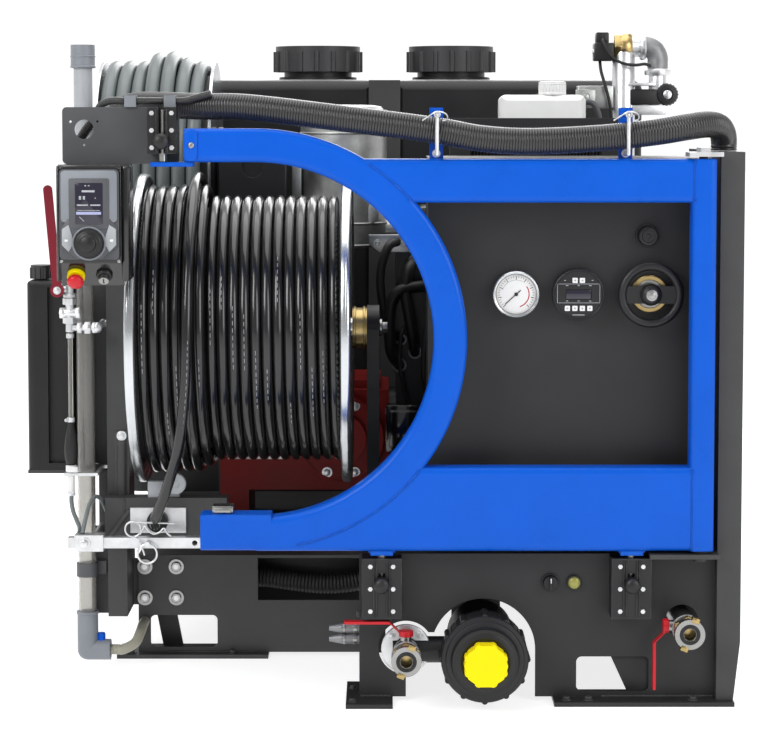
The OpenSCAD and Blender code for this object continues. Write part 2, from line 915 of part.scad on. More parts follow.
// Guard gate: half ring, rails, post, latch lugs and conduit cradles
module gate_tube() {
  translate([ring_x, gate_y, ring_z])
    rotate([90, 0, 0])
      rotate([0, 0, -90])
        rotate_extrude(angle = 180)
          translate([ring_r, 0])
            round_rect(ring_w, gate_depth, gate_edge_r);
  tube_x([ring_x - top_tail, ring_x], gate_ys, about(ring_z + ring_r, ring_w / 2), gate_edge_r);
  tube_x([ring_x - bottom_tail, ring_x], gate_ys, about(ring_z - ring_r, ring_w / 2), gate_edge_r);
  difference() {
    union() {
      tube_x(
        [ring_x, gate_end_x - gate_post_w / 2],
        gate_ys,
        [gate_top - top_rail_h, gate_top],
        gate_edge_r
      );
      tube_x(
        [ring_x, gate_end_x - gate_post_w / 2],
        gate_ys,
        [gate_bottom, gate_bottom + bottom_rail_h],
        gate_edge_r
      );
    }
    rod_y(ring_x, [gate_front - over, gate_back + over], ring_z, ring_r);
  }
  tube_z([gate_end_x - gate_post_w, gate_end_x], gate_ys, [gate_bottom, gate_top], gate_edge_r);
}

module cradle(x) {
  slab(about(x, cradle_w / 2), [gate_back - cradle_t, gate_back], from(gate_top, -gate_edge_r, cradle_h));
}

module gate_frame() {
  tail_bottom = ring_z + ring_r - ring_w / 2;
  lug_y = [gate_y - lug_depth / 2, gate_y + lug_depth / 2];
  color("#1f4f9a")
    difference() {
      union() {
        gate_tube();
        for (x = [mid_latch_x, right_latch_x])
          slab([x - lug_w / 2, x + lug_w / 2], lug_y, [gate_bottom - lug_t, gate_bottom]);
        slab(
          [upper_latch_x - lug_w / 2, upper_latch_x - lug_w / 2 + top_lug_w],
          lug_y,
          [tail_bottom - lug_t, tail_bottom]
        );
        slab(
          [ring_x - bottom_tail, ring_x - bottom_tail + shelf_w],
          gate_ys,
          from(ring_z - ring_r + ring_w / 2, -gate_edge_r, shelf_t)
        );
        for (x = cradle_x)
          cradle(x);
      }
      for (x = [mid_latch_x, right_latch_x])
        rod_z(x, gate_y, [gate_bottom - lug_t - over, gate_bottom + bolt_travel], lug_hole_r);
      rod_z(upper_latch_x, gate_y, [tail_bottom - lug_t - over, tail_bottom + over], lug_hole_r);
      rod_z(pivot_x, gate_y, [gate_top - pivot_depth, gate_top + over], pivot_r + fit);
      rod_z(pivot_x, gate_y, [gate_bottom - over, gate_bottom + pivot_depth], pivot_r + fit);
      for (x = cradle_x, z = keeper_zs)
        rod_y(x, [keeper_y, gate_back + over], z, keeper_r + fit);
    }
}

// Bent rods that close the cradles in front of the conduit
module keeper_rods() {
  color("#c9ccce")
    for (x = cradle_x) {
      rod_z(x, keeper_y, keeper_zs, keeper_r);
      for (z = keeper_zs) {
        rod_y(x, [keeper_y, gate_back + keeper_r], z, keeper_r);
        translate([x, keeper_y, z])
          sphere(keeper_r);
      }
    }
}

// Latches: a housing with an open channel, and a slide bolt with a knob
module latch_block(x, z, w, channel) {
  difference() {
    slab([x - w / 2, x + w / 2], [-latch_depth, 0], z);
    rod_z(x, gate_y, [z[0] - over, z[1] + over], bolt_r + fit);
    slab([x - channel_w / 2, x + channel_w / 2], [-latch_depth - over, gate_y], channel);
  }
}

module latch_blocks() {
  low = panel_top - latch_top_gap - latch_h;
  high = upper_latch_foot();
  color("#54585a") {
    for (x = [mid_latch_x, right_latch_x])
      latch_block(
        x,
        [low, low + latch_h],
        latch_w,
        from(lower_knob_z(), -stem_r - play, stem_r + bolt_travel + play)
      );
    latch_block(
      upper_latch_x,
      [high, high + upper_latch_h],
      upper_latch_w,
      [high - over, high + upper_latch_h + over]
    );
  }
}

function lower_knob_z() = gate_bottom - lug_t - bolt_knob_drop;
function upper_latch_foot() = ring_z + ring_r - ring_w / 2 + bolt_travel + bolt_gap;

module slide_bolt(x, z, knob_z) {
  color("#8d9193")
    union() {
      rod_z(x, gate_y, z, bolt_r);
      rod_y(x, [-latch_depth - stem_r, gate_y], knob_z, stem_r);
    }
  color("#1a1a1a")
    rod_y(x, [-latch_depth - stem_r - bolt_knob_h, -latch_depth - stem_r], knob_z, bolt_knob_r);
}

module slide_bolt_mid() {
  top = gate_bottom - lug_t - bolt_gap;
  slide_bolt(mid_latch_x, [top - bolt_len, top], lower_knob_z());
}

module slide_bolt_right() {
  top = gate_bottom - lug_t - bolt_gap;
  slide_bolt(right_latch_x, [top - bolt_len, top], lower_knob_z());
}

module slide_bolt_top() {
  low = ring_z + ring_r - ring_w / 2 + bolt_gap;
  slide_bolt(upper_latch_x, [low, low + upper_bolt_len], low + upper_knob_rise);
}

// Post that carries the reel, the control head and the fuel tank
module reel_post() {
  shelf = [fuel_shelf_z - sheet_t, fuel_shelf_z];
  color("#45494b")
    difference() {
      union() {
        slab([post_x, post_end_x], [post_y, post_back], [post_foot, post_top]);
        slab(
          [post_end_x, post_end_x + splice_w],
          from(base_y + sheet_t, 0, sheet_t),
          [post_foot, post_foot + splice_h]
        );
        slab(
          [post_x - left_leg_w, post_x],
          [left_leg_y, left_leg_y + sheet_t],
          [post_foot, post_foot + left_leg_h]
        );
        slab([post_x, post_x + beam_w], [post_y - beam_depth, post_y], [beam_z, beam_z + beam_h]);
        slab([post_x, post_end_x], [box_back, post_y], [control_arm_z, control_arm_z + control_arm_h]);
        slab([fuel_x, post_x], [fuel_y, post_back], shelf);
        slab([fuel_x, fuel_x + fuel_w], [fuel_y, fuel_y + fuel_len], shelf);
      }
      rod_x([post_x - over, post_end_x + over], reel_y, reel_z, shaft_r + fit);
    }
}

module reel_pedestal() {
  x0 = reel_end_x + swivel_gap + swivel_w;
  xs = [x0, x0 + pedestal_w];
  color("#45494b")
    difference() {
      union() {
        slab(xs, [base_y - pedestal_depth, base_y], [panel_top, reel_z]);
        rod_x(xs, reel_y, reel_z, pedestal_head_r);
      }
      rod_x([x0 - over, x0 + pedestal_w + over], reel_y, reel_z, shaft_r + fit);
    }
  color("#b08d45")
    difference() {
      rod_x([x0 - swivel_w, x0], reel_y, reel_z, swivel_r);
      rod_x([x0 - swivel_w - over, x0 + over], reel_y, reel_z, shaft_r + play);
    }
}

// Reel drum: shaft, stepped core and two dished flanges with rolled rims
module flange(x) {
  rod_x([x, x + flange_t], reel_y, reel_z, flange_r - flange_rim_r);
  translate([x + flange_t / 2, reel_y, reel_z])
    rotate([0, 90, 0])
      rotate_extrude()
        translate([flange_r - flange_rim_r, 0])
          circle(flange_rim_r);
}

module jet_reel() {
  inner = [reel_x + flange_t / 2, reel_end_x - flange_t / 2];
  x0 = reel_end_x + swivel_gap + swivel_w + pedestal_w;
  color("#d9dcdc") {
    flange(reel_x);
    flange(reel_end_x - flange_t);
    rod_x(inner, reel_y, reel_z, core_r);
    rod_x([inner[0], core_step_x], reel_y, reel_z, high_core_r);
    rod_x([post_x, x0], reel_y, reel_z, shaft_r);
  }
}

function reel_rings() = [0 : (low_turns + high_turns) * rings_per_turn];
function reel_angle(i) = 180 + 360 * i / rings_per_turn;
function reel_climb(i) = min(1, max(0, i / rings_per_turn - low_turns) * 2);
function reel_path() = wound(
  [for (i = reel_rings()) wind_start_x - hose_pitch * i / rings_per_turn],
  [for (i = reel_rings()) wind_r + layer_rise * reel_climb(i)],
  [for (i = reel_rings()) reel_angle(i)],
  reel_y, reel_z
);

module jet_winding() {
  path = reel_path();
  echo(str("least gap of the pressure hose to itself, mm: ", least_gap(path, rings_per_turn, hose_d)));
  color("#23272b")
    cord(path, hose_d / 2, hose_sides, [1, 0, 0]);
}

module jet_hose() {
  path = even_path(hose_route, 34);
  color("#23272b")
    cord(path, hose_d / 2, 10, [1, 0, 0]);
}

// Control head: top plate, box, display and operating buttons
module top_plate() {
  color("#45494b")
    difference() {
      tube_y(
        [box_x, box_x + top_plate_w],
        [0, sheet_t],
        [top_plate_z, top_plate_z + top_plate_h],
        display_rise
      );
      rod_y(top_hole_x, panel_cut, top_hole_z, top_hole_r);
      for (a = [30, 150, 270])
        rod_y(
          top_hole_x + top_hole_r * 1.6 * cos(a),
          panel_cut,
          top_hole_z + top_hole_r * 1.6 * sin(a),
          screw_r / 2
        );
    }
}

module control_box() {
  color("#3a3d3f")
    translate([box_x, 0, 0])
      rotate([90, 0, 90])
        linear_extrude(box_w)
          polygon([
            [-box_front, top_plate_z],
            [box_back, top_plate_z],
            [box_back, box_bottom],
            [-box_front + box_slope, box_bottom],
            [-box_front, box_bottom + box_slope]
          ]);
}

module control_display() {
  mid = box_x + box_w / 2;
  xs = [mid - display_w / 2, mid + display_w / 2];
  zs = [top_plate_z - display_rise - display_h, top_plate_z - display_rise];
  color("#1d2022")
    translate([mid, -box_front, (zs[0] + zs[1]) / 2])
      rotate([90, 0, 0])
        linear_extrude(display_t)
          round_rect(display_w, display_h, display_rise);
}

function knob_z() = top_plate_z - display_rise - display_h / 2 - knob_drop;

module control_knob() {
  mid = box_x + box_w / 2;
  front = -box_front - display_t - play;
  color("#202325") {
    rod_y(mid, [front - knob_h, front], knob_z(), knob_r);
    rod_y(mid, [front - knob_h * 1.4, front - knob_h], knob_z(), knob_r * 0.55);
  }
}

// Places children on the sloping lower face of the control box, with Z out of it
module on_slope(x) {
  translate([x, -box_front + box_slope / 2, box_bottom + box_slope / 2])
    rotate([135, 0, 0])
      children();
}

module stop_collar() {
  color("#e8c21c")
    on_slope(stop_x)
      difference() {
        cylinder(r = collar_r, h = collar_h);
        translate([0, 0, -over])
          cylinder(r = stop_stem_r + fit, h = collar_h + 2 * over);
      }
  color("#1a1a1a")
    on_slope(key_x)
      cylinder(r = key_r, h = key_bezel_h);
}

module stop_button() {
  color("#c4201d")
    on_slope(stop_x) {
      translate([0, 0, stop_travel + play])
        cylinder(r = stop_stem_r, h = collar_h);
      translate([0, 0, collar_h + stop_travel + play])
        cylinder(r = stop_r, h = stop_head_h * 0.6);
      translate([0, 0, collar_h + stop_travel + play + stop_head_h * 0.6])
        cylinder(r1 = stop_r, r2 = stop_r * 0.7, h = stop_head_h * 0.4);
    }
}

module key_switch() {
  color("#b9bcbd")
    on_slope(key_x)
      translate([0, 0, key_bezel_h + play])
        difference() {
          cylinder(r = key_r * 0.7, h = key_h);
          translate([-key_r * 0.08, -key_r * 0.5, key_h * 0.5])
            cube([key_r * 0.16, key_r, key_h]);
        }
}

// Fill reel on its single stand
module fill_reel_stand() {
  x0 = fill_end_x + fill_stand_gap;
  color("#45494b") {
    slab([x0, x0 + fill_stand_t], about(fill_y, fill_stand_depth / 2), [deck_z, fill_z]);
    rod_x([x0, x0 + fill_stand_t], fill_y, fill_z, fill_stand_depth / 2);
    rod_x([fill_x, x0], fill_y, fill_z, fill_axle_r);
  }
}

module fill_reel() {
  color("#7d8284")
    difference() {
      union() {
        rod_x([fill_x, fill_x + flange_t], fill_y, fill_z, fill_flange_r);
        rod_x([fill_end_x - flange_t, fill_end_x], fill_y, fill_z, fill_flange_r);
        rod_x([fill_x, fill_end_x], fill_y, fill_z, fill_core_r);
      }
      rod_x([fill_x - over, fill_end_x + over], fill_y, fill_z, fill_axle_r + fit);
    }
}

function fill_rings() = [0 : fill_turns * rings_per_turn];
function fill_path() = wound(
  [for (i = fill_rings())
    fill_x + (fill_w - fill_turns * fill_pitch) / 2 + fill_pitch * i / rings_per_turn],
  [for (i = fill_rings()) fill_wind_r],
  [for (i = fill_rings()) 360 * i / rings_per_turn],
  fill_y, fill_z
);

module fill_hose_winding() {
  path = fill_path();
  echo(str("least gap of the fill hose to itself, mm: ", least_gap(path, rings_per_turn, fill_hose_d)));
  color("#8f9496")
    cord(path, fill_hose_d / 2, hose_sides, [1, 0, 0]);
}

// Water tanks with screw lids
module tank(side) {
  xs = side < 0 ? [-tank_gap / 2 - tank_w, -tank_gap / 2] : [tank_gap / 2, tank_gap / 2 + tank_w];
  top = deck_z + tank_h;
  color("#2c3033") {
    soft_block(xs, [tank_y, tank_y + tank_len], [deck_z, top], tank_soft_r);
    rod_z(side * lid_x, lid_y, [top - tank_soft_r, top + neck_h], neck_r);
  }
}

module tank_left() {
  tank(-1);
}

module tank_right() {
  tank(1);
}

module tank_lid(side) {
  low = deck_z + tank_h + lid_gap;
  color("#1c1f21")
    difference() {
      union() {
        rod_z(side * lid_x, lid_y, [low, low + lid_h], lid_r);
        for (i = [0 : 15])
          translate([side * lid_x, lid_y, low])
            rotate([0, 0, 360 * i / 16])
              translate([lid_r, 0, 0])
                cylinder(r = lid_wall, h = lid_h * 0.8);
      }
      rod_z(side * lid_x, lid_y, [low - over, low + neck_h - lid_gap + play], neck_r + play);
    }
}

module tank_lid_left() {
  tank_lid(-1);
}

module tank_lid_right() {
  tank_lid(1);
}

module fuel_tank() {
  top = fuel_shelf_z + fuel_h;
  color("#26292b")
    difference() {
      union() {
        soft_block(
          [fuel_x, fuel_x + fuel_w],
          [fuel_y, fuel_y + fuel_len],
          [fuel_shelf_z, top],
          fuel_soft_r
        );
        rod_z(fuel_cap_x, fuel_cap_y, [top - fuel_soft_r, top + fuel_neck_h], fuel_neck_r);
      }
      slab(
        from(fuel_x + fuel_w - fuel_soft_r, -fuel_groove_w, 0),
        [fuel_y - over, fuel_y + fuel_groove_depth],
        [fuel_shelf_z + fuel_soft_r, top - fuel_soft_r]
      );
    }
}

module fuel_cap() {
  low = fuel_shelf_z + fuel_h + fuel_cap_gap;
  color("#1a1c1e")
    difference() {
      union() {
        rod_z(fuel_cap_x, fuel_cap_y, [low, low + fuel_cap_h], fuel_cap_r);
        for (i = [0 : 11])
          translate([fuel_cap_x, fuel_cap_y, low])
            rotate([0, 0, 30 * i])
              translate([fuel_cap_r, 0, 0])
                cylinder(r = fuel_cap_r * 0.1, h = fuel_cap_h * 0.8);
      }
      rod_z(
        fuel_cap_x,
        fuel_cap_y,
        [low - over, low + fuel_neck_h - fuel_cap_gap + play],
        fuel_neck_r + play
      );
    }
}

// Engine with its intake box, silencer, radiator and coolant bottle
module engine() {
  xs = [engine_x, engine_x + engine_w];
  ys = [engine_y, engine_y + engine_len];
  top = machine_z + engine_h;
  box_x1 = fill_end_x + fill_stand_gap + fill_stand_t + sheet_t;
  box_y = fill_y - air_box_size[1];
  color("#303335") {
    for (y = [ys[0] + rail_w / 2, ys[1] - rail_w * 1.5])
      slab(xs, [y, y + rail_w], [deck_z, machine_z]);
    slab(xs, ys, [machine_z, top - rail_w]);
    slab(
      [xs[0] + rail_w / 2, xs[1] - rail_w / 2],
      [ys[0] + rail_w / 2, ys[1] - rail_w / 2],
      [top - rail_w, top]
    );
    rod_x([pump_x + pump_w, engine_x], silencer_y, machine_z + pump_cover_rise, bell_r);
    difference() {
      slab(
        [box_x1, box_x1 + air_box_size[0]],
        [box_y, box_y + air_box_size[1]],
        [air_box_z, air_box_z + air_box_size[2]]
      );
      rod_y(
        box_x1 + air_box_size[0] / 2,
        [box_y - over, box_y + sheet_t],
        air_box_z + air_box_size[2] * 0.65,
        air_duct_r
      );
    }
    slab(
      [box_x1 - sheet_t, box_x1],
      [fill_y - fill_stand_depth / 2, fill_y - sheet_t],
      about(air_box_z + air_box_size[2] / 2, air_box_size[2] / 4)
    );
  }
}

module silencer() {
  color("#b4b8ba") {
    rod_z(silencer_x, silencer_y, [silencer_z, silencer_z + silencer_h], silencer_r);
    rod_x([silencer_x, engine_x + rail_w / 2], silencer_y, silencer_z + exhaust_rise, exhaust_r);
  }
}

module radiator() {
  xs = [radiator_x, radiator_x + radiator_w];
  ys = [radiator_y, radiator_y + radiator_depth];
  top = machine_z + radiator_h;
  color("#3b4043") {
    difference() {
      slab(xs, ys, [machine_z, top]);
      for (y = [ys[0] - over, ys[1] - radiator_depth / 4])
        slab([xs[0] + radiator_foot, xs[1] - radiator_foot], [y, y + radiator_depth / 4 + over],
          [machine_z + radiator_foot, top - radiator_foot]);
    }
    for (x = [xs[0], xs[1] - radiator_foot])
      slab([x, x + radiator_foot], ys, [deck_z, machine_z]);
  }
}

module coolant_bottle() {
  low = machine_z + radiator_h;
  ys = [radiator_y + bottle_inset, radiator_y + radiator_depth - bottle_inset];
  mid = (ys[0] + ys[1]) / 2;
  color("#e9ebe6")
    soft_block([bottle_x, bottle_x + bottle_w], ys, [low, low + bottle_h], bottle_soft_r);
  color("#1a1c1e")
    rod_z(bottle_x + bottle_w * 0.62, mid, [low + bottle_h, low + bottle_h + bottle_cap_h], bottle_cap_r);
}

// Plunger pump with its round crankcase cover and valve head
module jet_pump() {
  xs = [pump_x, pump_x + pump_w];
  ys = [pump_y, pump_y + pump_len];
  cover_z = machine_z + pump_cover_rise;
  color("#b3211f") {
    slab(xs, ys, [machine_z, machine_z + pump_h - pump_cover_t]);
    slab([xs[0] + pump_cover_t, xs[1] - pump_cover_t], [ys[0] + pump_cover_t, ys[1] - pump_cover_t],
      [machine_z + pump_h - pump_cover_t, machine_z + pump_h]);
    rod_y(pump_cover_x, [ys[0] - pump_cover_t, ys[0]], cover_z, pump_cover_r);
    rod_y(pump_cover_x, [ys[0] - pump_cover_t * 1.6, ys[0]], cover_z, pump_cover_r * 0.6);
    for (x = [xs[0], xs[1] - rail_w])
      slab([x, x + rail_w], ys, [deck_z, machine_z]);
  }
  color("#8d9193")
    slab([xs[0] + pump_cover_t, xs[0] + pump_cover_t + pump_head_h], [ys[0] - pump_cover_t * 1.5, ys[0]],
      from(machine_z, pump_h * 0.3, pump_h * 0.8));
}

// Water filter, its screw ring and the two ball valves
module filter_body() {
  color("#2a2d2f") {
    rod_y(filter_x, [-filter_front, filter_len - filter_front], filter_z, filter_r);
    rod_y(filter_x, [filter_len - filter_front, base_y - sheet_t], filter_z, pipe_r);
    rod_x([inlet_x, filter_x], inlet_y + filter_front, filter_z, pipe_r);
    rod_x([inlet_x - pipe_r, inlet_x + pipe_r], inlet_y + filter_front, filter_z, pipe_r);
  }
}

module filter_ring() {
  front = -filter_front - filter_ring_w;
  color("#1b1d1f")
    difference() {
      union() {
        rod_y(filter_x, [front, -filter_front + filter_ring_w / 2], filter_z, filter_ring_r * 0.95);
        rod_y(filter_x, [front - plug_h * 0.8, front], filter_z, filter_ring_r * 0.72);
        for (i = [0 : 11])
          translate([filter_x, -filter_front + filter_ring_w / 2, filter_z])
            rotate([90, 30 * i, 0])
              translate([filter_ring_r * 0.93, 0, 0])
                cylinder(r = filter_ring_r * 0.07, h = filter_ring_w * 1.5);
      }
      rod_y(filter_x, [-filter_front - play, 0], filter_z, filter_r + play);
    }
  color("#d7b51e")
    translate([filter_x, front - plug_h * 0.8, filter_z])
      rotate([90, 0, 0])
        cylinder(r = plug_r, h = plug_h, $fn = 10);
}

module coupling(x, y, z) {
  difference() {
    union() {
      rod_y(x, [y - coupling_len, y], z, coupling_r);
      rod_y(x, [y - coupling_len - claw_w, y - coupling_len], z, claw_r);
    }
    rod_y(
      x,
      [y - coupling_len - claw_w - over, y - coupling_len - claw_w + coupling_bore],
      z,
      coupling_bore_r
    );
  }
}

module valve_bodies() {
  color("#8a8e90") {
    difference() {
      union() {
        translate([inlet_x, inlet_y, inlet_z])
          sphere(inlet_ball_r);
        coupling(inlet_x, inlet_y - inlet_ball_r, inlet_z);
        rod_y(inlet_x, [inlet_y - inlet_ball_r, inlet_y], inlet_z, coupling_r * 0.9);
        rod_z(inlet_x, inlet_y, [inlet_z, inlet_z + inlet_ball_r + lever_hub_h / 2], lever_hub_r * 0.8);
      }
      slab([inlet_x - inlet_ball_r, inlet_x + inlet_ball_r], [inlet_y + filter_front - pipe_r - play, 0],
        [inlet_z - inlet_ball_r, inlet_z + inlet_ball_r]);
    }
    rod_y(outlet_x, [-outlet_front, base_y - sheet_t], outlet_z, outlet_r);
    coupling(outlet_x, -outlet_front, outlet_z);
    rod_x([outlet_stem_x + lever_hub_h / 2, outlet_x], outlet_stem_y, outlet_z, lever_hub_r * 0.8);
  }
}

// A lever's flat bar, bent twice so that its grip stands off the hub
module lever_arm(length) {
  bend = [lever_hub_r, lever_hub_r + lever_rise];
  rotate([90, 0, 0])
    translate([0, 0, -lever_w / 2])
      linear_extrude(lever_w)
        polygon([
          [0, 0], [-bend[0], 0], [-bend[1], lever_rise], [-length, lever_rise],
          [-length, lever_rise - lever_t], [-bend[1] + lever_t / 2, lever_rise - lever_t],
          [-bend[0] + lever_t / 2, -lever_t], [0, -lever_t]
        ]);
}

module inlet_lever() {
  low = inlet_z + inlet_ball_r + lever_hub_h / 2 + play;
  color("#c4201d") {
    rod_z(inlet_x, inlet_y, [low, low + lever_hub_h], lever_hub_r);
    translate([inlet_x, inlet_y, low + lever_hub_h])
      lever_arm(inlet_lever_len);
  }
}

module outlet_lever() {
  x = outlet_stem_x + lever_hub_h / 2 - play;
  color("#c4201d") {
    rod_x([x - lever_hub_h, x], outlet_stem_y, outlet_z, lever_hub_r);
    translate([x - lever_hub_h, outlet_stem_y, outlet_z])
      rotate([0, -90, 0])
        lever_arm(outlet_lever_len);
  }
}

// Instruments on the recessed panel
module pressure_gauge() {
  color("#c7cacb")
    difference() {
      rod_y(gauge_x, [inst_y - gauge_t, inst_y], inst_z, gauge_r);
      rod_y(gauge_x, [inst_y - gauge_t - over, inst_y - gauge_t * 0.75], inst_z, gauge_r * 0.86);
    }
}

module digital_meter() {
  color("#26292c")
    difference() {
      rod_y(meter_x, [inst_y - meter_t, inst_y], inst_z, meter_r);
      slab(
        about(meter_x, meter_r / 2),
        [inst_y - meter_t - over, inst_y - meter_t * 0.9],
        about(inst_z, meter_r / 5)
      );
    }
}

module handwheel() {
  front = wheel_y;
  color("#1a1c1e")
    union() {
      translate([wheel_x, front, inst_z])
        rotate([90, 0, 0])
          rotate_extrude()
            translate([wheel_r, 0])
              circle(wheel_rim_r);
      intersection() {
        rod_y(wheel_x, about(front, wheel_rim_r * 0.4), inst_z, wheel_r);
        slab(about(wheel_x, wheel_r), about(front, wheel_rim_r), about(inst_z, wheel_hub_r));
      }
      rod_y(wheel_x, [front - wheel_hub_h / 2, front + wheel_hub_h], inst_z, wheel_hub_r);
      rod_y(wheel_x, [front, inst_y + sheet_t], inst_z, wheel_shaft_r);
    }
}

module panel_knob() {
  color("#1a1c1e") {
    rod_y(panel_knob_x, [inst_y - play - panel_knob_h, inst_y - play], panel_knob_z, panel_knob_r);
    rod_y(panel_knob_x, [inst_y - play, inst_y + sheet_t], panel_knob_z, panel_knob_r / 3);
  }
}

module rotary_switch() {
  color("#1a1c1e") {
    rod_y(switch_x, [-switch_h, -play], switch_z, switch_r);
    rod_y(switch_x, [-play, sheet_t], switch_z, switch_r / 2);
    slab(about(switch_x, switch_r / 5), [-switch_h * 1.5, -switch_h], about(switch_z, switch_r * 0.9));
  }
}

// Hoses, conduits and pipes
module main_conduit() {
  path = even_path(conduit_route, 2 * conduit_ribs);
  radii = [for (i = [0 : len(path) - 1]) conduit_d / 2 - (i % 2) * conduit_rib];
  last = len(path) - 1;
  bore_path = concat([path[0]], [for (i = [1 : 4 : last - 2]) path[i]], [path[last - 1], path[last]]);
  color("#16181a")
    hose(path, radii, bore_path, conduit_d / 2 - conduit_rib - conduit_wall, 8, [1, 0, 0]);
}

module small_conduit() {
  color("#16181a")
    cord(even_path(small_route, 24), small_conduit_d / 2, 8, [1, 0, 0]);
}

module level_tube() {
  color("#dfe5e4")
    difference() {
      rod_z(level_x, level_y, [level_z, level_top - level_collar_h / 2], level_d / 2);
      rod_z(level_x, level_y, [level_z - over, level_top], level_bore_r);
    }
}

module grey_fittings() {
  clip_r = small_conduit_d / 2 + clip_t;
  color("#8f9598") {
    difference() {
      rod_z(level_x, level_y, [level_top - level_collar_h, level_top], level_d / 2 + collar_over);
      rod_z(
        level_x,
        level_y,
        [level_top - level_collar_h - over, level_top - level_collar_h / 2],
        level_d / 2 + fit
      );
    }
    difference() {
      union() {
        rod_z(level_x, level_y, [elbow_z, level_z + level_collar_h], level_d / 2 + collar_over / 2);
        translate([level_x, level_y, elbow_z])
          sphere(elbow_r);
        rod_x([level_x, level_x + elbow_reach], level_y, elbow_z, elbow_r);
      }
      rod_z(level_x, level_y, [level_z, level_z + level_collar_h + over], level_d / 2 + fit);
    }
    for (x = [small_route[5][0], small_route[6][0] - 2 * clip_r])
      difference() {
        slab(
          about(x, clip_r),
          about(small_route[5][1], clip_r),
          from(top_plate_z + top_plate_h, 0, 2 * clip_r)
        );
        rod_x(
          [x - clip_r - over, x + clip_r + over],
          small_route[5][1],
          small_route[5][2],
          small_conduit_d / 2 + clip_t / 4
        );
      }
  }
}

module drain_hose() {
  color("#8f9598")
    cord(even_path(drain_route, 16), drain_r, 10, [0, 0, 1]);
}

// Steel pipe fittings beside the post, with a ball valve, and two spare nozzles on the panel's side
module nozzle(z) {
  body = nozzle_h * 0.6;
  rod_x([panel_x - body, panel_x], nozzle_y, z, nozzle_r);
  translate([panel_x - body, nozzle_y, z])
    rotate([0, -90, 0])
      cylinder(r1 = nozzle_r, r2 = nozzle_r * 0.5, h = nozzle_h - body);
}

module steel_fittings() {
  bend_x = post_x - fitting_r * 1.5;
  stub_y = fuel_y;
  pipe = fitting_r * 0.8;
  color("#a9adaf") {
    rod_x([fitting_x, bend_x], fitting_y, fitting_z, pipe);
    rod_x([drain_valve_x, fitting_x], fitting_y, drain_valve_z, pipe);
    rod_y(bend_x, [fitting_y, stub_y], fitting_z, pipe);
    rod_x([bend_x, post_x], stub_y, fitting_z, pipe);
    translate([bend_x, fitting_y, fitting_z])
      sphere(fitting_r * 1.3);
    translate([bend_x, stub_y, fitting_z])
      sphere(fitting_r);
    rod_z(fitting_x, fitting_y, [fitting_z - fitting_r, drain_valve_z + fitting_r], fitting_r);
    for (z = [fitting_z + fitting_r, drain_valve_z - fitting_r * 3.5])
      translate([fitting_x, fitting_y, z])
        cylinder(r = fitting_r * 1.7, h = fitting_r * 1.5, $fn = 6);
    rod_y(drain_valve_x, about(fitting_y, fitting_r * 2), drain_valve_z, fitting_r * 1.4);
    for (i = [0, 1])
      nozzle(nozzle_z + i * nozzle_r * 2.2);
  }
}

// Hose priming line: squeeze bulb, clear line and the bracket that holds them to the post
module primer_bulb() {
  top = bulb_z + bulb_h;
  color("#1f2224") {
    rod_z(fitting_x, fitting_y, [bulb_z + bulb_h * 0.15, top - bulb_h * 0.15], bulb_r);
    translate([fitting_x, fitting_y, bulb_z])
      cylinder(r1 = bulb_line_r, r2 = bulb_r, h = bulb_h * 0.15);
    translate([fitting_x, fitting_y, top - bulb_h * 0.15])
      cylinder(r1 = bulb_r, r2 = bulb_line_r, h = bulb_h * 0.15);
    rod_z(fitting_x, fitting_y, [top, fitting_z - fitting_r], bulb_line_r);
    rod_z(fitting_x, fitting_y, [bulb_z - bulb_r, bulb_z], bulb_line_r);
  }
}

// Zinc brackets: hose holder plate, sleeve of the guide arm, tube clip and bulb bracket
module hose_holder() {
  beam_front = post_y - beam_depth;
  leg_x = post_x - sheet_t * 2;
  half = arm_side / 2 + play;
  color("#c3c7c9") {
    difference() {
      slab(
        [holder_x, holder_x + holder_w],
        [beam_front - sheet_t, beam_front],
        [holder_z, holder_z + holder_h]
      );
      rod_y(
        hose_end[0],
        [beam_front - sheet_t - over, beam_front + over],
        hose_end[2],
        holder_ring_r * 0.6
      );
    }
    difference() {
      union() {
        slab(
          [sleeve_x, sleeve_x + sleeve_w],
          about(arm_y, half + sleeve_wall),
          about(arm_z, half + sleeve_wall)
        );
        slab([leg_x - sheet_t, leg_x], [arm_y + half + sleeve_wall, left_leg_y], about(arm_z, half));
      }
      slab([sleeve_x - over, sleeve_x + sleeve_w + over], about(arm_y, half), about(arm_z, half));
    }
    difference() {
      union() {
        rod_z(level_x, level_y, [clip_z, clip_z + clip_h], level_d / 2 + clip_t);
        slab(
          [level_x, post_x - sheet_t],
          [level_y + level_d / 2 + fit, left_leg_y],
          [clip_z, clip_z + clip_h]
        );
      }
      rod_z(level_x, level_y, [clip_z - over, clip_z + clip_h + over], level_d / 2 + fit);
    }
    slab([fitting_x - bulb_r, leg_x], about(fitting_y, sheet_t), from(bulb_z - bulb_r, -sheet_t, 0));
    slab(
      [leg_x - sheet_t, leg_x],
      [fitting_y + sheet_t, fuel_y + sheet_t],
      from(bulb_z - bulb_r, -sheet_t, 0)
    );
    slab([leg_x, post_x], [fuel_y, fuel_y + sheet_t], from(bulb_z - bulb_r, -sheet_t, 0));
  }
}

module holder_ring() {
  beam_front = post_y - beam_depth;
  color("#17191b")
    difference() {
      rod_y(hose_end[0], [hose_end[1], beam_front - sheet_t], hose_end[2], holder_ring_r);
      rod_y(
        hose_end[0],
        [hose_end[1] - over, beam_front - sheet_t + over],
        hose_end[2],
        holder_ring_r * 0.45
      );
    }
}

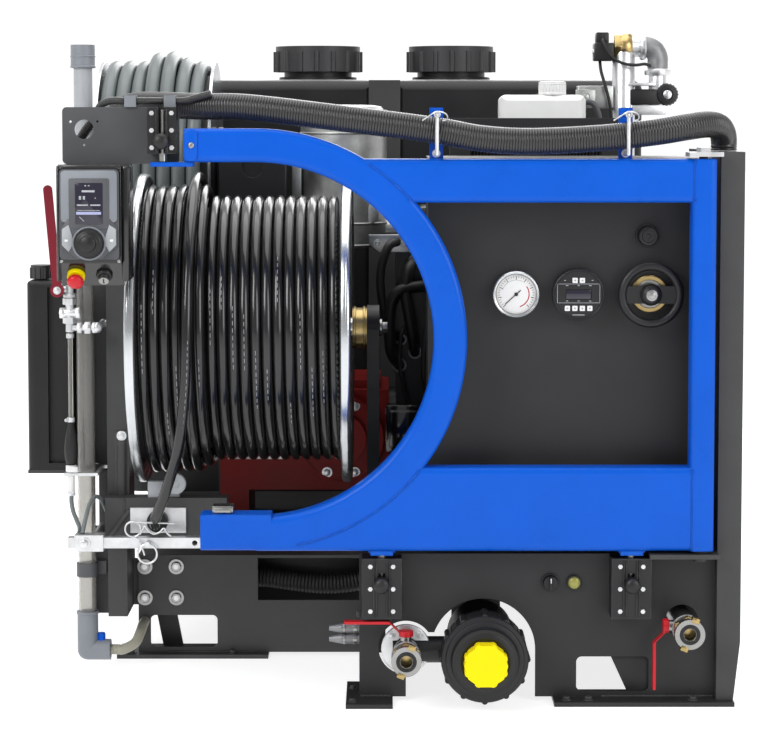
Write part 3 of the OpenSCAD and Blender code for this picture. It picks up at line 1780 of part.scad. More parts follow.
module guide_arm() {
  pin_x = arm_x + arm_len * 0.6;
  color("#c3c7c9") {
    difference() {
      slab([arm_x, arm_x + arm_len], about(arm_y, arm_side / 2), about(arm_z, arm_side / 2));
      rod_y(arm_x + arm_len * 0.95, about(arm_y, arm_side), arm_z, arm_side * 0.25);
      rod_y(pin_x, about(arm_y, arm_side), arm_z, arm_side * 0.25);
    }
    rod_y(pin_x, from(arm_y, -arm_side * 1.2, arm_side * 0.8), arm_z, arm_side * 0.25);
    translate([pin_x, arm_y - arm_side * 1.1, arm_z - arm_side * 0.9])
      rotate([90, 0, 0])
        rotate_extrude()
          translate([arm_side * 0.9, 0])
            circle(arm_side * 0.1);
  }
}

// Red lever of the ball valve on the steel fittings, standing up
module drain_lever() {
  y = from(fitting_y - fitting_r * 2 - play, -lever_t, 0);
  color("#b8201e") {
    rod_y(drain_valve_x, y, drain_valve_z, lever_hub_r);
    hull()
      for (p = [[0, 0], [-drain_lever_lean, drain_lever_len]])
        rod_y(drain_valve_x + p[0], y, drain_valve_z + p[1], lever_w / 2, $fn = 32);
  }
}

// Solenoid valves above the engine bay, on their pipe post
module solenoid_valves() {
  top = sol_z + sol_pipe_r;
  low = sol_z - sol_drop;
  coil_end = sol_x - sol_pipe_r * 0.8;
  elbow_x = sol_x + sol_pipe_r * 1.2;
  color("#a9adaf") {
    rod_z(sol_x, sol_y, [deck_z, top], sol_pipe_r * 0.9);
    slab(
      from(sol_x, 0, sol_pipe_r + sol_coil[2]),
      about(sol_y, sol_pipe_r * 0.7),
      from(low, 0, sol_coil[0] / 2)
    );
    rod_x(from(sol_x, sol_pipe_r * 3, sol_pipe_r * 3.8), sol_y, low + sol_coil[0], sol_pipe_r * 0.6);
  }
  color("#202325") {
    slab([coil_end - sol_coil[0], coil_end], about(sol_y, sol_coil[1] / 2), about(top, sol_coil[2] / 2));
    slab(
      from(sol_x, 0, sol_pipe_r * 3),
      about(sol_y, sol_coil[0] / 2),
      from(low, sol_coil[0] / 2, sol_coil[0] * 1.3)
    );
  }
  color("#b08d45")
    rod_x([coil_end, elbow_x], sol_y, top, sol_pipe_r);
  color("#6d7173")
    slab(
      from(elbow_x, 0, sol_coil[2]),
      about(sol_y, sol_coil[2] / 2),
      about(top - sol_pipe_r * 0.7, sol_coil[2] / 2)
    );
}

// Bolt heads and screws
module screw_grid(x, z, w, h, rows) {
  for (i = [-1, 1], j = rows)
    bolt_head_y(
      x + i * w * screw_columns_share / 2,
      -latch_depth,
      z + j * h * screw_rows_share,
      screw_r,
      screw_h
    );
}

module fasteners() {
  splice_z = post_foot + splice_h / 2;
  color("#b9bdbf") {
    for (i = [-1, 1], j = [-1, 1])
      bolt_head_y(
        splice_bolt_x + i * splice_bolt_step / 2,
        base_y,
        splice_z + j * splice_bolt_step / 2,
        splice_bolt_r,
        splice_bolt_h
      );
    for (x = [mid_latch_x, right_latch_x])
      screw_grid(x, panel_top - latch_top_gap - latch_h / 2, latch_w, latch_h, [-1, 0, 1]);
    screw_grid(
      upper_latch_x,
      upper_latch_foot() + upper_latch_h / 2,
      upper_latch_w * 1.2,
      upper_latch_h,
      [-1, 0, 1]
    );
  }
}

// The whole machine, moved so that the middle of the floor bolts is the origin
module placed() {
  translate([0, -floor_y, 0])
    children();
}

placed() chassis();
placed() lower_front_panel();
placed() side_column();
placed() instrument_panel();
placed() gate_pivots();
placed() latch_blocks();
placed() reel_post();
placed() reel_pedestal();
placed() top_plate();
placed() control_box();
placed() control_display();
placed() stop_collar();
placed() fill_reel_stand();
placed() tank_left();
placed() tank_right();
placed() fuel_tank();
placed() engine();
placed() silencer();
placed() radiator();
placed() coolant_bottle();
placed() jet_pump();
placed() filter_body();
placed() valve_bodies();
placed() main_conduit();
placed() small_conduit();
placed() level_tube();
placed() grey_fittings();
placed() drain_hose();
placed() steel_fittings();
placed() primer_bulb();
placed() hose_holder();
placed() holder_ring();
placed() pressure_gauge();
placed() digital_meter();
placed() solenoid_valves();
placed() fasteners();
placed() jet_hose();
placed() gate_frame();
placed() keeper_rods();
placed() slide_bolt_mid();
placed() slide_bolt_right();
placed() slide_bolt_top();
placed() jet_reel();
placed() jet_winding();
placed() fill_reel();
placed() fill_hose_winding();
placed() guide_arm();
placed() tank_lid_left();
placed() tank_lid_right();
placed() fuel_cap();
placed() filter_ring();
placed() inlet_lever();
placed() outlet_lever();
placed() handwheel();
placed() panel_knob();
placed() control_knob();
placed() stop_button();
placed() key_switch();
placed() rotary_switch();
placed() drain_lever();
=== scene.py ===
"""Drain jetter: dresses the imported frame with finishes, hoses, dials and fittings."""

from __future__ import annotations

import logging
import math
import random
from collections.abc import Callable, Sequence
from dataclasses import dataclass, field
from enum import Enum

import bmesh
import bpy
from mathutils import Matrix, Vector


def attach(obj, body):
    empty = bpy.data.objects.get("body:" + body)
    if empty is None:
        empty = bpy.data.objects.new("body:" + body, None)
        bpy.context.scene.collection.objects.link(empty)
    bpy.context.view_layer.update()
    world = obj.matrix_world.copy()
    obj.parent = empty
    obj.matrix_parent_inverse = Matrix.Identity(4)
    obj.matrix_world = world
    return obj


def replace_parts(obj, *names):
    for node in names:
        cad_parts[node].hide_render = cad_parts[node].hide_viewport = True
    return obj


LOG = logging.getLogger("jetter")
FRONT_Y = 980.0
PER_METRE = 1000.0
SHARP = 0.6
BUMP_DEPTH = 0.0006
COAT_ROUGH = 0.12
CLEAR_IOR = 1.46
Point = tuple[float, float, float]
Colour = tuple[float, float, float]
Span = tuple[float, float]

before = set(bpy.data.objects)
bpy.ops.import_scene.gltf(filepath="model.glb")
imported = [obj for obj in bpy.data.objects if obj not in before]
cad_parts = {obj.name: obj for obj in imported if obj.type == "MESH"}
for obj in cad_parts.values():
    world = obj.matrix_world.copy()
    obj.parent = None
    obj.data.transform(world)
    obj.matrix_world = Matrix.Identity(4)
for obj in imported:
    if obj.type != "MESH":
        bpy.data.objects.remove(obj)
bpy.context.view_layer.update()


def at(x: float, y: float, z: float) -> Vector:
    """Turn a place in millimetres from the front panel's face into the shared frame in metres."""
    return Vector((x, y - FRONT_Y, z)) / PER_METRE


def smooth(route: Sequence[Point], count: int) -> list[Point]:
    """Run one smooth curve through given points.

    Args:
        route: The points, in millimetres.
        count: How many points the finer curve has.

    Returns:
        The finer curve's points.
    """
    points = [Vector(p) for p in route]
    points = [2 * points[0] - points[1], *points, 2 * points[-1] - points[-2]]
    steps = len(route) - 1
    fine: list[Point] = []
    for i in range(count):
        u = steps * i / (count - 1)
        k = min(int(u), steps - 1)
        t = u - k
        a, b, c, d = points[k : k + 4]
        p = (2 * b + (c - a) * t + (2 * a - 5 * b + 4 * c - d) * t * t + (3 * b - a - 3 * c + d) * t**3) / 2
        fine.append((p.x, p.y, p.z))
    return fine


def length_of(path: Sequence[Point]) -> float:
    """Measure a path given in millimetres, in metres."""
    return sum((Vector(b) - Vector(a)).length for a, b in zip(path, path[1:])) / PER_METRE


class Axis(Enum):
    """The way that a turned or drilled shape points."""

    X = (1.0, 0.0, 0.0)
    Y = (0.0, 1.0, 0.0)
    Z = (0.0, 0.0, 1.0)
    FRONT = (0.0, -1.0, 0.0)
    LEFT = (-1.0, 0.0, 0.0)
    SLOPE = (0.0, -0.70710678, -0.70710678)

    def turn(self) -> Matrix:
        """Give the rotation that takes Z to this axis."""
        return Vector((0, 0, 1)).rotation_difference(Vector(self.value)).to_matrix().to_4x4()


class Graph:
    """A material's node tree in the making."""

    def __init__(self, name: str) -> None:
        """Start a material with its shader and object coordinates.

        Args:
            name: The material's name.
        """
        self.material = bpy.data.materials.new(name)
        self.material.use_nodes = True
        self.tree = self.material.node_tree
        self.shader = self.tree.nodes["Principled BSDF"]
        self.coords = self.add("ShaderNodeTexCoord").outputs["Object"]

    def add(self, kind: str, values: dict | None = None, **options: object) -> bpy.types.Node:
        """Add a node.

        Args:
            kind: The node's type name.
            values: Input name or number to a constant or a socket to link.
            options: Attributes of the node.

        Returns:
            The new node.
        """
        node = self.tree.nodes.new(kind)
        for key, value in options.items():
            setattr(node, key, value)
        for key, value in (values or {}).items():
            if isinstance(value, bpy.types.NodeSocket):
                self.tree.links.new(value, node.inputs[key])
            else:
                node.inputs[key].default_value = value
        return node

    def noise(self, scale: float, detail: float = 3.0, stretch: Point = (1, 1, 1)) -> bpy.types.NodeSocket:
        """Add noise on object coordinates.

        Args:
            scale: How fine it is.
            detail: How many finer layers it has.
            stretch: How it is squeezed along each axis.

        Returns:
            The noise's value.
        """
        place = self.add("ShaderNodeMapping", {"Vector": self.coords, "Scale": stretch})
        values = {"Vector": place.outputs[0], "Scale": scale, "Detail": detail, "Roughness": 0.6}
        return self.add("ShaderNodeTexNoise", values).outputs[0]

    def span(self, value: bpy.types.NodeSocket, source: Span, target: Span) -> bpy.types.NodeSocket:
        """Map one range of a value onto another, held at its ends."""
        values = {"Value": value, 1: source[0], 2: source[1], 3: target[0], 4: target[1]}
        return self.add("ShaderNodeMapRange", values).outputs[0]

    def mix(self, factor: bpy.types.NodeSocket, a: object, b: object) -> bpy.types.NodeSocket:
        """Mix two colours by a factor."""
        whole = [c if isinstance(c, bpy.types.NodeSocket) else (*c, 1.0) for c in (a, b)]
        return self.add("ShaderNodeMix", {0: factor, 6: whole[0], 7: whole[1]}, data_type="RGBA").outputs[2]

    def math(self, how: str, a: object, b: object) -> bpy.types.NodeSocket:
        """Work out one number from two."""
        return self.add("ShaderNodeMath", {0: a, 1: b}, operation=how).outputs[0]

    def edges(self, width: float) -> tuple[bpy.types.NodeSocket, bpy.types.NodeSocket]:
        """Soften the sharp edges in shading.

        Args:
            width: Radius of the softened edge, in metres.

        Returns:
            A rounded normal, and a mask that is high near sharp edges.
        """
        soft = self.add("ShaderNodeBevel", {"Radius": width}, samples=4).outputs[0]
        wide = self.add("ShaderNodeBevel", {"Radius": width * 2.5}, samples=4).outputs[0]
        flat = self.add("ShaderNodeNewGeometry").outputs["Normal"]
        dot = self.add("ShaderNodeVectorMath", {0: wide, 1: flat}, operation="DOT_PRODUCT").outputs["Value"]
        return soft, self.span(dot, (0.97, 0.8), (0.0, 1.0))

    def feed(self, socket: bpy.types.NodeSocket, name: str) -> None:
        """Link a value to one of the shader's inputs."""
        self.tree.links.new(socket, self.shader.inputs[name])


@dataclass(frozen=True)
class Finish:
    """One surface finish, made as a procedural material."""

    name: str
    slot: str
    colour: Colour
    rough: float = 0.45
    metal: float = 0.0
    coat: float = 0.0
    vary: float = 0.12
    patch: float = 9.0
    grain: float = 700.0
    relief: float = 0.06
    stretch: Point = (1.0, 1.0, 1.0)
    # Lighter tone along sharp edges and its strength: edge wear, and on the blue paint partly a painted highlight
    edge_wear_and_sheen: Colour | None = None
    wear: float = 0.5
    edge: float = 0.0012
    clear: float = 0.0
    spec: float = 0.5
    glow: float = 0.0

    def material(self) -> bpy.types.Material:
        """Make the material, or give the one already made.

        Returns:
            The finish's material.
        """
        made = bpy.data.materials.get(self.name)
        if made:
            return made
        g = Graph(self.name)
        broad = g.noise(self.patch, 5.0)
        fine = g.noise(self.grain, 4.0, self.stretch)
        low = tuple(c * (1 - self.vary) for c in self.colour)
        high = tuple(min(1.0, c * (1 + self.vary)) for c in self.colour)
        base = g.mix(g.span(broad, (0.3, 0.7), (0.0, 1.0)), low, high)
        rough = g.span(g.math("ADD", g.math("MULTIPLY", broad, 0.6), g.math("MULTIPLY", fine, 0.4)),
                       (0.3, 0.7), (max(0.02, self.rough * 0.8), min(1.0, self.rough * 1.2)))
        bump = {"Height": fine, "Strength": self.relief, "Distance": BUMP_DEPTH}
        if self.edge:
            soft, mask = g.edges(self.edge)
            bump["Normal"] = soft
            # Lighter tone in noisy patches along sharp edges: edge wear on most finishes, and on the blue paint also a
            # painted highlight along the rounded edges
            if self.edge_wear_and_sheen:
                edge_wear_and_sheen_mask = g.math("MULTIPLY", mask, g.span(g.noise(60.0, 6.0), (0.42, 0.62), (0.0, self.wear)))
                base = g.mix(edge_wear_and_sheen_mask, base, self.edge_wear_and_sheen)
        g.feed(base, "Base Color")
        g.feed(rough, "Roughness")
        g.feed(g.add("ShaderNodeBump", bump).outputs[0], "Normal")
        g.shader.inputs["Metallic"].default_value = self.metal
        g.shader.inputs["Coat Weight"].default_value = self.coat
        g.shader.inputs["Coat Roughness"].default_value = COAT_ROUGH
        g.shader.inputs["Specular IOR Level"].default_value = self.spec
        if self.glow:
            g.feed(base, "Emission Color")
            g.shader.inputs["Emission Strength"].default_value = self.glow
        if self.clear:
            g.shader.inputs["Transmission Weight"].default_value = self.clear
            g.shader.inputs["IOR"].default_value = CLEAR_IOR
        return g.material


class Finishes:
    """The finishes that the machine's pieces wear."""

    # The blue paint's lighter edge tone is partly wear and partly a painted highlight along the tube's rounded edges
    BLUE = Finish("gloss_blue_coat", "blue_paint", (0.001, 0.083, 0.515), 0.3, coat=0.12, vary=0.05, relief=0.035,
                  grain=420.0, edge_wear_and_sheen=(0.03, 0.16, 0.6), wear=0.3, edge=0.006, spec=0.12)
    DARK = Finish("satin_charcoal_coat", "dark_paint", (0.046, 0.0465, 0.047), 0.46, relief=0.12, grain=900.0,
                  edge_wear_and_sheen=(0.08, 0.08, 0.08), wear=0.6, spec=0.35)
    PLATE = Finish("satin_grey_coat", "dark_paint", (0.062, 0.064, 0.067), 0.44, relief=0.12, grain=900.0,
                   edge_wear_and_sheen=(0.18, 0.18, 0.18), spec=0.35)
    PANEL = Finish("satin_black_coat", "panel_paint", (0.024, 0.0243, 0.025), 0.42, relief=0.12, grain=900.0,
                   edge_wear_and_sheen=(0.05, 0.05, 0.05), spec=0.3)
    GLOSS = Finish("gloss_black_coat", "panel_paint", (0.01, 0.01, 0.0105), 0.1, coat=0.6, relief=0.02, edge=0.004,
                   spec=0.5)
    LATCH = Finish("latch_black_coat", "latch_paint", (0.012, 0.0123, 0.013), 0.34, relief=0.08,
                   edge_wear_and_sheen=(0.11, 0.11, 0.11), wear=0.7, spec=0.4)
    ENGINE = Finish("engine_black_enamel", "engine_paint", (0.008, 0.0082, 0.0085), 0.38, relief=0.15, grain=300.0,
                    edge_wear_and_sheen=(0.05, 0.05, 0.05), spec=0.35)
    RED = Finish("pump_red_enamel", "red_paint", (0.27, 0.014, 0.012), 0.42, relief=0.12, grain=260.0,
                 edge_wear_and_sheen=(0.36, 0.05, 0.04), spec=0.2)
    REEL = Finish("reel_bright_steel", "reel_paint", (0.62, 0.64, 0.66), 0.22, metal=0.95, vary=0.1, relief=0.05,
                  stretch=(30.0, 1.0, 1.0))
    STEEL = Finish("machined_steel", "steel", (0.36, 0.36, 0.35), 0.3, metal=1.0, relief=0.05, grain=500.0)
    ZINC = Finish("bright_zinc_plate", "zinc", (0.7, 0.71, 0.72), 0.34, metal=0.85, vary=0.16, patch=30.0, relief=0.04)
    CAST = Finish("cast_grey_iron", "steel", (0.26, 0.265, 0.27), 0.5, metal=0.7, vary=0.2, patch=40.0, relief=0.35,
                  grain=260.0)
    ALUMINISED = Finish("aluminised_sheet", "silencer_metal", (0.42, 0.43, 0.42), 0.36, metal=0.85, vary=0.25,
                        patch=24.0, relief=0.1)
    BRASS = Finish("cast_brass", "brass", (0.5, 0.37, 0.16), 0.3, metal=1.0, vary=0.2, relief=0.08)
    BLACK = Finish("moulded_black", "black_plastic", (0.011, 0.0112, 0.012), 0.4, relief=0.1, grain=1400.0,
                   spec=0.4)
    FADED = Finish("faded_black_moulding", "black_plastic", (0.024, 0.0243, 0.026), 0.44, relief=0.12, grain=900.0)
    TANK = Finish("rotomoulded_black", "tank_plastic", (0.014, 0.0145, 0.015), 0.36, relief=0.2, grain=420.0, vary=0.2,
                  spec=0.28)
    CONDUIT = Finish("ribbed_cover", "conduit_plastic", (0.024, 0.024, 0.025), 0.26, coat=0.12, relief=0.03, edge=0.0)
    GREY = Finish("grey_moulding", "grey_plastic", (0.19, 0.205, 0.23), 0.4, relief=0.06)
    SLATE = Finish("slate_moulding", "grey_plastic", (0.07, 0.072, 0.08), 0.42, relief=0.08)
    PALE = Finish("pale_moulding", "grey_plastic", (0.34, 0.355, 0.375), 0.42, relief=0.06)
    BOTTLE = Finish("milky_moulding", "bottle_plastic", (0.84, 0.85, 0.83), 0.34, relief=0.05, vary=0.05, clear=0.1)
    CLEAR = Finish("clear_pvc", "clear_tube", (0.7, 0.69, 0.66), 0.12, relief=0.02, vary=0.04, clear=0.85, edge=0.0)
    RED_GRIP = Finish("red_grip_cover", "red_plastic", (0.5, 0.012, 0.02), 0.34, coat=0.15, relief=0.04, spec=0.25)
    RED_DARK = Finish("dark_red_grip", "red_plastic", (0.19, 0.006, 0.018), 0.34, coat=0.15, relief=0.04, spec=0.25)
    YELLOW = Finish("yellow_moulding", "yellow_plastic", (0.88, 0.7, 0.001), 0.4, relief=0.04, vary=0.04, spec=0.15)
    LENS = Finish("lamp_lens", "yellow_plastic", (0.28, 0.27, 0.05), 0.2, coat=0.4, relief=0.1, grain=300.0)
    HOSE = Finish("hose_cover", "hose_rubber", (0.0075, 0.0078, 0.008), 0.2, coat=0.3, relief=0.05, grain=900.0,
                  edge=0.0)
    RUBBER = Finish("plain_rubber", "black_rubber", (0.011, 0.011, 0.011), 0.5, relief=0.1, spec=0.4)
    FILL_HOSE = Finish("grey_hose_cover", "grey_hose", (0.125, 0.142, 0.143), 0.34, relief=0.08, vary=0.1, edge=0.0)
    BEIGE = Finish("beige_hose_cover", "grey_hose", (0.3, 0.29, 0.23), 0.36, relief=0.06, vary=0.12, edge=0.0)
    WHITE = Finish("white_print", "bottle_plastic", (0.72, 0.72, 0.71), 0.35, relief=0.02, vary=0.03, edge=0.0)
    SCREEN = Finish("screen_glass", "black_plastic", (0.014, 0.012, 0.026), 0.08, coat=0.5, relief=0.0, edge=0.0)
    READOUT = Finish("readout_light", "bottle_plastic", (0.3, 0.32, 0.5), 0.4, vary=0.1, edge=0.0, glow=0.2)


NODE_FINISHES: dict[Finish, str] = {
    Finishes.DARK: "chassis side_column gate_pivots reel_post fill_reel_stand",
    Finishes.PLATE: "top_plate",
    Finishes.PANEL: "instrument_panel lower_front_panel radiator",
    Finishes.GLOSS: "control_box",
    Finishes.LATCH: "latch_blocks",
    Finishes.SLATE: "control_display",
    Finishes.BLACK: "filter_body digital_meter filter_ring handwheel panel_knob control_knob rotary_switch",
    Finishes.FADED: "tank_lid_left tank_lid_right fuel_cap",
    Finishes.YELLOW: "stop_collar",
    Finishes.TANK: "tank_left tank_right fuel_tank",
    Finishes.ENGINE: "engine reel_pedestal",
    Finishes.ALUMINISED: "silencer",
    Finishes.BOTTLE: "coolant_bottle",
    Finishes.RED: "jet_pump",
    Finishes.STEEL: "valve_bodies pressure_gauge slide_bolt_mid slide_bolt_right slide_bolt_top key_switch",
    Finishes.CLEAR: "level_tube",
    Finishes.GREY: "grey_fittings",
    Finishes.RUBBER: "holder_ring",
    Finishes.ZINC: "hose_holder fasteners keeper_rods guide_arm steel_fittings",
    Finishes.BLUE: "gate_frame",
    Finishes.REEL: "jet_reel fill_reel",
    Finishes.RED_GRIP: "inlet_lever outlet_lever stop_button",
    Finishes.RED_DARK: "drain_lever",
}


class Shape:
    """A mesh in the making, with its places in millimetres from the front panel."""

    def __init__(self) -> None:
        """Start with an empty mesh."""
        self.bm = bmesh.new()

    def _settle(self, made: list, turn: Matrix, edge: float, material: int) -> None:
        """Move new vertices into place, bevel their sharp edges and mark their material.

        Args:
            made: The new vertices.
            turn: Where they go.
            edge: Width of the bevelled edges.
            material: Number of their material.
        """
        bmesh.ops.transform(self.bm, matrix=turn, verts=made)
        others = set(self.bm.faces) - {f for v in made for f in v.link_faces}
        if edge:
            sharp = [e for e in dict.fromkeys(e for v in made for e in v.link_edges)
                     if len(e.link_faces) == 2 and e.calc_face_angle() > SHARP]
            bmesh.ops.bevel(self.bm, geom=sharp, offset=edge / PER_METRE, segments=2, profile=0.5, affect="EDGES",
                            material=-1, clamp_overlap=True)
        for f in set(self.bm.faces) - others:
            f.material_index = material

    def box(self, x: Span, y: Span, z: Span, edge: float = 1.0, material: int = 0, spin: Matrix | None = None) -> Shape:
        """Add a block between two ends along each axis.

        Args:
            x: Ends across the machine.
            y: Ends along the machine.
            z: Ends above the floor.
            edge: Width of the bevelled edges.
            material: Number of its material.
            spin: A turn about the block's own middle.

        Returns:
            This shape.
        """
        size = Matrix.Diagonal((*((end - start) / PER_METRE for start, end in (x, y, z)), 1))
        place = Matrix.Translation(at(sum(x) / 2, sum(y) / 2, sum(z) / 2))
        made = bmesh.ops.create_cube(self.bm, size=1.0)["verts"]
        self._settle(made, place @ (spin or Matrix()) @ size, edge, material)
        return self

    def rod(self, c: Point, axis: Axis, h: float, r: float, r2: float | None = None, sides: int = 32,
            edge: float = 0.6, material: int = 0, turn: float = 0.0) -> Shape:
        """Add a round or many-sided bar.

        Args:
            c: Middle of its first end.
            axis: The way it runs.
            h: Its length.
            r: Radius at the first end.
            r2: Radius at the far end, or None for the same.
            sides: Number of sides.
            edge: Width of the bevelled edges.
            material: Number of its material.
            turn: Turn about its own axis, in degrees.

        Returns:
            This shape.
        """
        made = bmesh.ops.create_cone(self.bm, cap_ends=True, segments=sides, radius1=r / PER_METRE,
                                     radius2=(r if r2 is None else r2) / PER_METRE, depth=h / PER_METRE)["verts"]
        lift = Matrix.Translation((0, 0, h / (2 * PER_METRE))) @ Matrix.Rotation(math.radians(turn), 4, "Z")
        self._settle(made, Matrix.Translation(at(*c)) @ axis.turn() @ lift, edge, material)
        return self

    def lathe(self, c: Point, axis: Axis, profile: Sequence[Span], steps: int = 48, material: int = 0) -> Shape:
        """Turn a profile of radius and height about an axis.

        Args:
            c: The axis's foot.
            axis: The way the height runs.
            profile: Radius and height of each point, in order.
            steps: Number of steps round.
            material: Number of its material.

        Returns:
            This shape.
        """
        before = set(self.bm.verts)
        verts = [self.bm.verts.new((r / PER_METRE, 0, h / PER_METRE)) for r, h in profile]
        edges = [self.bm.edges.new(pair) for pair in zip(verts, verts[1:])]
        bmesh.ops.spin(self.bm, geom=verts + edges, cent=(0, 0, 0), axis=(0, 0, 1), angle=math.tau, steps=steps,
                       use_merge=True)
        made = [v for v in self.bm.verts if v not in before]
        bmesh.ops.remove_doubles(self.bm, verts=made, dist=1e-6)
        made = [v for v in self.bm.verts if v not in before]
        bmesh.ops.recalc_face_normals(self.bm, faces=list(dict.fromkeys(f for v in made for f in v.link_faces)))
        self._settle(made, Matrix.Translation(at(*c)) @ axis.turn(), 0.0, material)
        return self

    def ring(self, c: Point, axis: Axis, r: float, tube: float, steps: int = 48, sides: int = 12,
             material: int = 0) -> Shape:
        """Add a ring of round section.

        Args:
            c: Its middle.
            axis: The way it faces.
            r: Radius of its centreline.
            tube: Radius of its section.
            steps: Number of steps round.
            sides: Number of sides of its section.
            material: Number of its material.

        Returns:
            This shape.
        """
        turns = [math.tau * i / sides for i in range(sides)]
        loop = [(r + tube * math.cos(a), tube * math.sin(a)) for a in turns]
        return self.lathe(c, axis, [*loop, loop[0]], steps, material)

    def prism(self, outline: Sequence[Span], y: Span, edge: float = 0.8, material: int = 0) -> Shape:
        """Add a plate cut to an outline.

        Args:
            outline: Its corners in X and Z, in order.
            y: Its ends along the machine.
            edge: Width of the bevelled edges.
            material: Number of its material.

        Returns:
            This shape.
        """
        verts = [self.bm.verts.new(at(x, y[0], z)) for x, z in outline]
        face = self.bm.faces.new(verts)
        done = bmesh.ops.extrude_face_region(self.bm, geom=[face])
        far = [v for v in done["geom"] if isinstance(v, bmesh.types.BMVert)]
        bmesh.ops.translate(self.bm, verts=far, vec=(0, (y[1] - y[0]) / PER_METRE, 0))
        faces = list(dict.fromkeys(f for v in verts + far for f in v.link_faces))
        bmesh.ops.recalc_face_normals(self.bm, faces=faces)
        self._settle(verts + far, Matrix(), edge, material)
        return self

    def tube(self, c: Point, axis: Axis, h: float, r: float, bore: float, steps: int = 48, material: int = 0) -> Shape:
        """Add a short pipe or washer with rounded outer edges."""
        e = min(1.2, h / 4, (r - bore) / 4)
        return self.lathe(c, axis, [(bore, 0), (r - e, 0), (r, e), (r, h - e), (r - e, h), (bore, h), (bore, 0)], steps,
                          material)

    def bolt(self, c: Point, axis: Axis, r: float, h: float, material: int = 0) -> Shape:
        """Add a washer and a hexagon head with a turned top.

        Args:
            c: Middle of the washer's seat.
            axis: The way the head points.
            r: Radius of the head.
            h: Height of washer and head.
            material: Number of their material.

        Returns:
            This shape.
        """
        washer = [(0, 0), (r * 1.45, 0), (r * 1.5, h * 0.1), (r * 1.45, h * 0.22), (0, h * 0.22)]
        self.lathe(c, axis, washer, 32, material)
        lift = Vector(c) + Vector(axis.value) * h * 0.2
        return self.rod(tuple(lift), axis, h * 0.8, r, sides=6, edge=r * 0.12, material=material)

    def screw(self, c: Point, axis: Axis, r: float, h: float, material: int = 0) -> Shape:
        """Add a domed screw head with a socket."""
        return self.lathe(c, axis, [(r, 0), (r, h * 0.3), (r * 0.86, h * 0.75), (r * 0.55, h), (r * 0.42, h),
                                    (r * 0.38, h * 0.4), (0, h * 0.4)], 24, material)

    def piece(self, name: str, body: str, *finishes: Finish, angle: float = 40.0) -> bpy.types.Object:
        """Finish the mesh as a piece that rides on a body.

        Args:
            name: The piece's name.
            body: The body it moves with.
            finishes: Its materials, in order of their numbers.
            angle: Sharpest angle that is shaded smooth, in degrees.

        Returns:
            The new object.
        """
        mesh = bpy.data.meshes.new(name)
        self.bm.to_mesh(mesh)
        self.bm.free()
        return dress(bpy.data.objects.new(name, mesh), body, *finishes, angle=angle)


def dress(obj: bpy.types.Object, body: str, *finishes: Finish, angle: float = 40.0) -> bpy.types.Object:
    """Put a new object in the scene with its finishes, on its body.

    Args:
        obj: The object.
        body: The body it moves with.
        finishes: Its materials.
        angle: Sharpest angle that is shaded smooth, in degrees.

    Returns:
        The same object.
    """
    if obj.name not in bpy.context.scene.collection.objects:
        bpy.context.scene.collection.objects.link(obj)
    for finish in finishes:
        obj.data.materials.append(finish.material())
    if isinstance(obj.data, bpy.types.Mesh):
        obj.data.shade_smooth()
        obj.data.set_sharp_from_angle(angle=math.radians(angle))
    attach(obj, body)
    LOG.info("%s on %s", obj.name, body)
    return obj


def track(name: str, paths: Sequence[Sequence[Point]], r: float, sides: int = 5) -> bpy.types.Object:
    """Make a curve object along some paths.

    Args:
        name: Its name.
        paths: Each one's points, in millimetres.
        r: Radius of the round section, or zero for a bare line.
        sides: Fineness of its roundness.

    Returns:
        The new object, not yet in the scene.
    """
    curve = bpy.data.curves.new(name, "CURVE")
    curve.dimensions = "3D"
    curve.bevel_depth = r / PER_METRE
    curve.bevel_resolution = sides
    curve.use_fill_caps = True
    for path in paths:
        spline = curve.splines.new("POLY")
        spline.points.add(len(path) - 1)
        for point, p in zip(spline.points, path):
            point.co = (*at(*p), 1.0)
        spline.use_smooth = True
    return bpy.data.objects.new(name, curve)


def lines(name: str, paths: Sequence[Sequence[Point]], r: float, body: str, finish: Finish,
          sides: int = 5) -> bpy.types.Object:
    """Make smooth round hoses or wires along some paths, as one piece, and give it."""
    return dress(track(name, paths, r, sides), body, finish)


def line(name: str, path: Sequence[Point], r: float, body: str, finish: Finish, sides: int = 5) -> bpy.types.Object:
    """Make one smooth round hose or wire along a path, as lines() does, and give it."""
    return lines(name, [path], r, body, finish, sides)


RIB: tuple[Span, ...] = ((0.0, 1.0), (0.22, 0.15), (0.4, 0.0), (0.6, 0.0), (0.78, 0.15))


